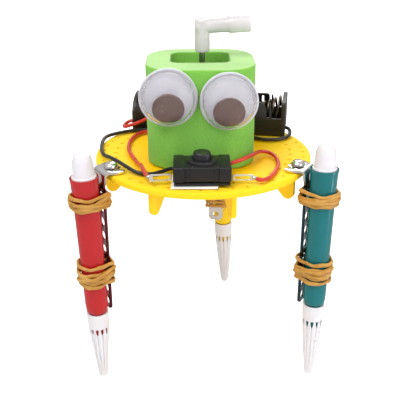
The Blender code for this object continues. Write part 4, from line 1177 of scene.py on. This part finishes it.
for side, x0, x1, tilt, z0, dz in (("left", -17.6, -10.6, 7.0, 79.4, 2.4), ("right", 8.5, 15.2, -1.0, 79.3, 2.1)):
    cx, hx = (x0 + x1) / 2, (x1 - x0) / 2
    m = TM(cx, -30.9, z0 + dz / 2) @ RZ(tilt) @ RX(90)
    outer = rrect(0, 0, hx, dz / 2, 0.55, 7)
    inner = rrect(0.25 if side == "left" else -0.25, 0, hx - 0.95, dz / 2 - 0.5, 0.3, 6)
    me = plate_mesh([outer, inner], -0.25, 0.25, 0.1, m, 2)
    put("switch_lug_%s_tab" % side, me, "tin", "body", 40, ("switch_lug_" + side,))
    # solder where the wire meets the lug
    e = P(-17.75, -30.7, 80.75) if side == "left" else P(15.45, -31.25, 80.3)
    bm = bmesh.new()
    bmesh.ops.create_icosphere(bm, subdivisions=3, radius=1.0)
    for v in bm.verts:
        k = 1.0 + 0.16 * wobble(v.co.x * 3, v.co.y * 3, v.co.z * 3, 1.0)
        v.co = Vector((v.co.x * 0.95 * k, v.co.y * 0.6 * k, v.co.z * 0.62 * k)) * MM + e
    me = bpy.data.meshes.new("solder")
    bm.to_mesh(me)
    bm.free()
    put("solder_" + side, me, "solder", "body", 180)

# double-sided tape under the switch
me = block_mesh(-7.3, 7.3, -5.6, 5.6, 78.4, 78.8, 0.12, 2)
bm = bmesh.new()
bm.from_mesh(me)
bmesh.ops.subdivide_edges(bm, edges=bm.edges, cuts=5, use_grid_fill=True)
for v in bm.verts:
    v.co.x += 0.12 * MM * wobble(v.co.y / MM, 3, 1, 1.4) * (1 if abs(v.co.x) > 6.9 * MM else 0)
    v.co.y += 0.10 * MM * wobble(v.co.x / MM, 1, 2, 1.2) * (1 if abs(v.co.y) > 5.3 * MM else 0)
bm.to_mesh(me)
bm.free()
me.transform(TM(-3.3, -29.8, 0) @ RZ(-1.6))
put("switch_tape", me, "tape", "body", 40, ("switch_tape_pad",))

# ================================================================ battery holder
HM = TM(3.4, 27.4, 78.4) @ RZ(-10)


def build_holder():
    hl, hw, wall, low, high, end = 29.0, 8.5, 1.3, 6.6, 12.3, 12.7

    def side_wall(sign):
        """Outline along x (local) and z of one long wall."""
        right = [(28.2, 0.0), (28.2, low)]
        right += [(24.0, low), (23.85, 8.5), (23.6, 11.4), (23.35, 11.9), (23.05, 11.9), (22.95, 11.4), (22.9, low + 0.2)]
        if sign < 0:      # the near wall
            right += [(22.1, low + 0.2), (22.1, 8.4)] + arc(18.4, 8.6, 3.7, 0, 90, 8)
        else:             # the far wall
            right += [(22.3, low + 0.2), (22.2, 11.4), (21.9, 12.0), (21.2, high)]
        if sign < 0:      # rounded shoulder that runs out to the left end
            left = arc(-22.6, 6.7, 5.6, 90, 180, 9) + [(-28.2, 0.0)]
        else:
            left = [(-21.4, high), (-22.0, 11.6), (-22.0, low + 0.2), (-22.9, low + 0.2), (-22.95, 11.4),
                    (-23.05, 11.9), (-23.35, 11.9), (-23.6, 11.4), (-23.85, 8.5), (-24.0, low), (-28.2, low),
                    (-28.2, 0.0)]
        loops = [right + left]
        if sign > 0:
            loops.append(rrect(19.6, 9.9, 0.42, 1.5, 0.35, 4))
            loops.append(rrect(-19.6, 9.9, 0.42, 1.5, 0.35, 4))
        y = sign * (hw - wall / 2)
        me = plate_mesh(loops, -wall / 2, wall / 2, 0.16, Matrix.Translation(S3((0, y, 0))) @ RX(90), 1)
        bm = bmesh.new()
        bm.from_mesh(me)
        for z in (6.4, 7.2, 8.0, 8.8, 9.6, 10.4, 11.2, 11.9):
            geom = list(bm.verts) + list(bm.edges) + list(bm.faces)
            bmesh.ops.bisect_plane(bm, geom=geom, plane_co=(0, 0, z * MM), plane_no=(0, 0, 1))
        for v in bm.verts:
            t = max(0.0, (v.co.z / MM - 6.0) / 6.3)
            v.co.y -= sign * 1.9 * MM * t ** 1.6
        bm.to_mesh(me)
        bm.free()
        return me

    floor = block_mesh(-28.4, 28.4, -hw + 0.4, hw - 0.4, 0.0, 1.5, 0.0)
    parts = [side_wall(-1), side_wall(1)]
    endr = [(-hw, 0), (hw, 0), (hw, end - 1.2)] + arc(hw - 1.2, end - 1.2, 1.2, 0, 90, 5)[1:] \
        + arc(-hw + 1.2, end - 1.2, 1.2, 90, 180, 5)
    parts.append(plate_mesh([endr], -0.75, 0.75, 0.16, Matrix.Translation(S3((hl - 0.75, 0, 0))) @ RZ(90) @ RX(90), 1))
    endl = [(-hw, 0), (hw, 0), (hw, 7.0)] + arc(0, 3.8, 8.9, 22, 158, 15) + [(-hw, 7.0)]
    endl = [(x, min(z, end)) for x, z in endl]
    parts.append(plate_mesh([endl], -0.75, 0.75, 0.16, Matrix.Translation(S3((-hl + 0.75, 0, 0))) @ RZ(90) @ RX(90), 1))
    for x in (-14.0, 0.0, 14.0):        # low cradle ribs under the cell
        rib = [(-hw + 0.7, 1.3), (hw - 0.7, 1.3), (hw - 0.7, 3.6), (5.4, 3.0), (3.4, 2.1), (0, 1.75), (-3.4, 2.1),
               (-5.4, 3.0), (-hw + 0.7, 3.6)]
        parts.append(plate_mesh([rib], -0.5, 0.5, 0.0, Matrix.Translation(S3((x, 0, 0))) @ RZ(90) @ RX(90), 0))
    me = cut_mesh(floor, parts, ["UNION"] * len(parts))
    holes = []
    for s in (-1, 1):
        v, f = lathe_data([(0, 4), (1.1, 4), (1.1, -4), (0, -4)], 20,
                          Matrix.Translation(S3((s * hl, -hw + 3.2, 2.6))) @ RY(90))
        holes.append(raw(v, f))
    me = cut_mesh(me, [join(holes)], ["DIFFERENCE"])
    me.transform(HM)
    put("holder_moulding", me, "holder", "body", 30, ("battery_holder",))


build_holder()

# conical contact spring and the flat contact
line = []
for i in range(141):
    t = i / 140
    a = math.tau * 3.6 * t
    r = 5.3 - 2.7 * t
    line.append(HM @ S3((27.5 - 0.9 - 6.6 * max(0.0, (t - 0.06) / 0.94), r * math.cos(a), 7.7 + r * math.sin(a))))
v, f = sweep_data(line, circle(0.42, 10))
make("battery_coil", v, f, "coil", "body", slot="steel_wire", smooth=60, replaces=("battery_spring",))
plate = rrect(0, 6.65, 4.6, 4.75, 1.0, 6)
me1 = plate_mesh([plate], -0.22, 0.22, 0.08, HM @ Matrix.Translation(S3((-27.0, 0, 0))) @ RZ(90) @ RX(90), 1)
nub = raw(*lathe_data(soft([(0, 1.25), (1.2, 1.2), (1.9, 0.8), (2.3, 0.15), (2.3, 0.0), (0, 0.0)], 3, 0.3), 28,
                      HM @ Matrix.Translation(S3((-26.95, 0, 7.7))) @ RY(90)))
me = cut_mesh(me1, [nub], ["UNION"])
put("battery_button_contact", me, "brass", "body", 35, ("battery_contact",))

# ================================================================ studio
def studio():
    sc = bpy.context.scene
    world = bpy.data.worlds.new("studio")
    sc.world = world
    world.use_nodes = True
    nt = world.node_tree
    bg = nt.nodes["Background"]
    tc = nt.nodes.new("ShaderNodeTexCoord")
    sep = nt.nodes.new("ShaderNodeSeparateXYZ")
    nt.links.new(tc.outputs["Generated"], sep.inputs[0])
    cr = nt.nodes.new("ShaderNodeValToRGB")
    e = cr.color_ramp.elements
    e[0].position, e[0].color = 0.0, (0.55, 0.55, 0.56, 1)
    e[1].position, e[1].color = 1.0, (1.0, 1.0, 1.0, 1)
    mid = e.new(0.45)
    mid.color = (0.8, 0.8, 0.81, 1)
    nt.links.new(sep.outputs["Z"], cr.inputs["Fac"])
    # reflections see a darker room with the bright ceiling above it; the picture's backdrop stays white
    room = nt.nodes.new("ShaderNodeValToRGB")
    r = room.color_ramp.elements
    r[0].position, r[0].color = 0.0, (0.05, 0.042, 0.036, 1)
    r[1].position, r[1].color = 1.0, (1.0, 1.0, 1.0, 1)
    for pos, c in ((0.5, (0.5, 0.49, 0.485, 1)), (0.6, (0.75, 0.75, 0.76, 1)), (0.78, (0.95, 0.95, 0.96, 1))):
        q = r.new(pos)
        q.color = c
    mp = nt.nodes.new("ShaderNodeMapRange")
    mp.inputs["From Min"].default_value = -1.0
    nt.links.new(sep.outputs["Z"], mp.inputs["Value"])
    nt.links.new(mp.outputs["Result"], room.inputs["Fac"])
    lp = nt.nodes.new("ShaderNodeLightPath")

    def mix(fac, a, b):
        x = nt.nodes.new("ShaderNodeMix")
        x.data_type = "RGBA"
        nt.links.new(fac, x.inputs["Factor"])
        ins = [k for k in x.inputs if k.type == "RGBA"]
        for i, v in zip(ins, (a, b)):
            if isinstance(v, tuple):
                i.default_value = v
            else:
                nt.links.new(v, i)
        return [k for k in x.outputs if k.type == "RGBA"][0]
    c1 = mix(lp.outputs["Is Glossy Ray"], cr.outputs["Color"], room.outputs["Color"])
    c2 = mix(lp.outputs["Is Camera Ray"], c1, (2.0, 2.0, 2.0, 1.0))
    nt.links.new(c2, bg.inputs["Color"])
    bg.inputs["Strength"].default_value = 0.66

    def area(name, loc, look, size, power, size_y=None):
        l = bpy.data.lights.new(name, "AREA")
        l.shape = "RECTANGLE"
        l.size = size
        l.size_y = size_y or size
        l.energy = power
        o = bpy.data.objects.new(name, l)
        sc.collection.objects.link(o)
        d = (Vector(look) - Vector(loc)).normalized()
        o.matrix_world = Matrix.Translation(loc) @ d.to_track_quat("-Z", "Y").to_matrix().to_4x4()
        return o

    area("key", (-0.22, -0.28, 0.62), (0, 0, 0.07), 0.42, 2.9)
    area("fill", (0.42, -0.38, 0.34), (0, 0, 0.06), 0.34, 1.1)
    area("rim", (0.1, 0.5, 0.5), (0, 0, 0.08), 0.4, 1.5)
    area("gleam", (0.17, -0.08, 0.062), (0, 0, 0.062), 0.012, 0.05, 0.12).visible_camera = False

    n = 24
    bm = bmesh.new()
    bmesh.ops.create_grid(bm, x_segments=n, y_segments=n, size=3.0)
    me = bpy.data.meshes.new("floor")
    bm.to_mesh(me)
    bm.free()
    fl = bpy.data.objects.new("floor", me)
    fl.location = (0, 0, -0.0002)
    m = bpy.data.materials.new("floor_pale")
    m.use_nodes = True
    b = m.node_tree.nodes["Principled BSDF"]
    b.inputs["Roughness"].default_value = 0.9
    b.inputs["Specular IOR Level"].default_value = 0.05
    b.inputs["Emission Color"].default_value = (1, 1, 1, 1)
    t = m.node_tree
    lp = t.nodes.new("ShaderNodeLightPath")
    x = t.nodes.new("ShaderNodeMix")
    x.data_type = "RGBA"
    ins = [k for k in x.inputs if k.type == "RGBA"]
    ins[0].default_value = (0.9, 0.9, 0.9, 1)
    ins[1].default_value = (0.42, 0.39, 0.36, 1)
    t.links.new(lp.outputs["Is Glossy Ray"], x.inputs["Factor"])
    t.links.new([k for k in x.outputs if k.type == "RGBA"][0], b.inputs["Base Color"])
    mr = t.nodes.new("ShaderNodeMapRange")
    mr.inputs["To Min"].default_value = 0.03
    mr.inputs["To Max"].default_value = 0.6
    t.links.new(lp.outputs["Is Camera Ray"], mr.inputs["Value"])
    t.links.new(mr.outputs["Result"], b.inputs["Emission Strength"])
    me.materials.append(m)
    sc.collection.objects.link(fl)


studio()

# ================================================================ CAD nodes that stay get their finish
KEEP = {
    "motor_can": "motor", "motor_shaft": "shaft", "motor_end_cap": "nylon", "motor_armature": "iron",
    "motor_magnet_left": "magnet", "motor_magnet_right": "magnet", "motor_bushing": "brass",
    "motor_terminal_left": "brass", "motor_terminal_right": "brass", "switch_contact": "brass",
    "battery_contact": "brass", "crank_elbow": "milky", "crank_end_weight": "steel", "battery_spring": "steel",
    "switch_spring": "steel", "switch_base": "switch", "switch_case": "switch", "switch_button": "button",
    "switch_tape_pad": "tape", "battery_holder": "holder", "chassis_disc": "disc", "foam_body": "foam",
}
for side in ("left", "right"):
    KEEP["eye_%s_back" % side] = "eye_white"
    KEEP["eye_%s_dome" % side] = "eye_clear"
    KEEP["eye_%s_pupil" % side] = "pupil"
    KEEP["switch_lug_" + side] = "nickel"
for c in ("red", "teal", "yellow"):
    KEEP["band_%s_upper" % c] = KEEP["band_%s_lower" % c] = "band"
    KEEP["bracket_" + c] = KEEP["bracket_screw_" + c] = "nickel"
    KEEP["pen_barrel_" + c] = c
    KEEP["pen_cap_" + c] = KEEP["pen_plug_" + c] = "cap"
    KEEP["pen_nib_" + c] = KEEP["pen_reservoir_" + c] = "felt"
for node, key in KEEP.items():
    ob = NODES[node]
    if not ob.hide_render:
        ob.data.materials.clear()
        ob.data.materials.append(M[key])
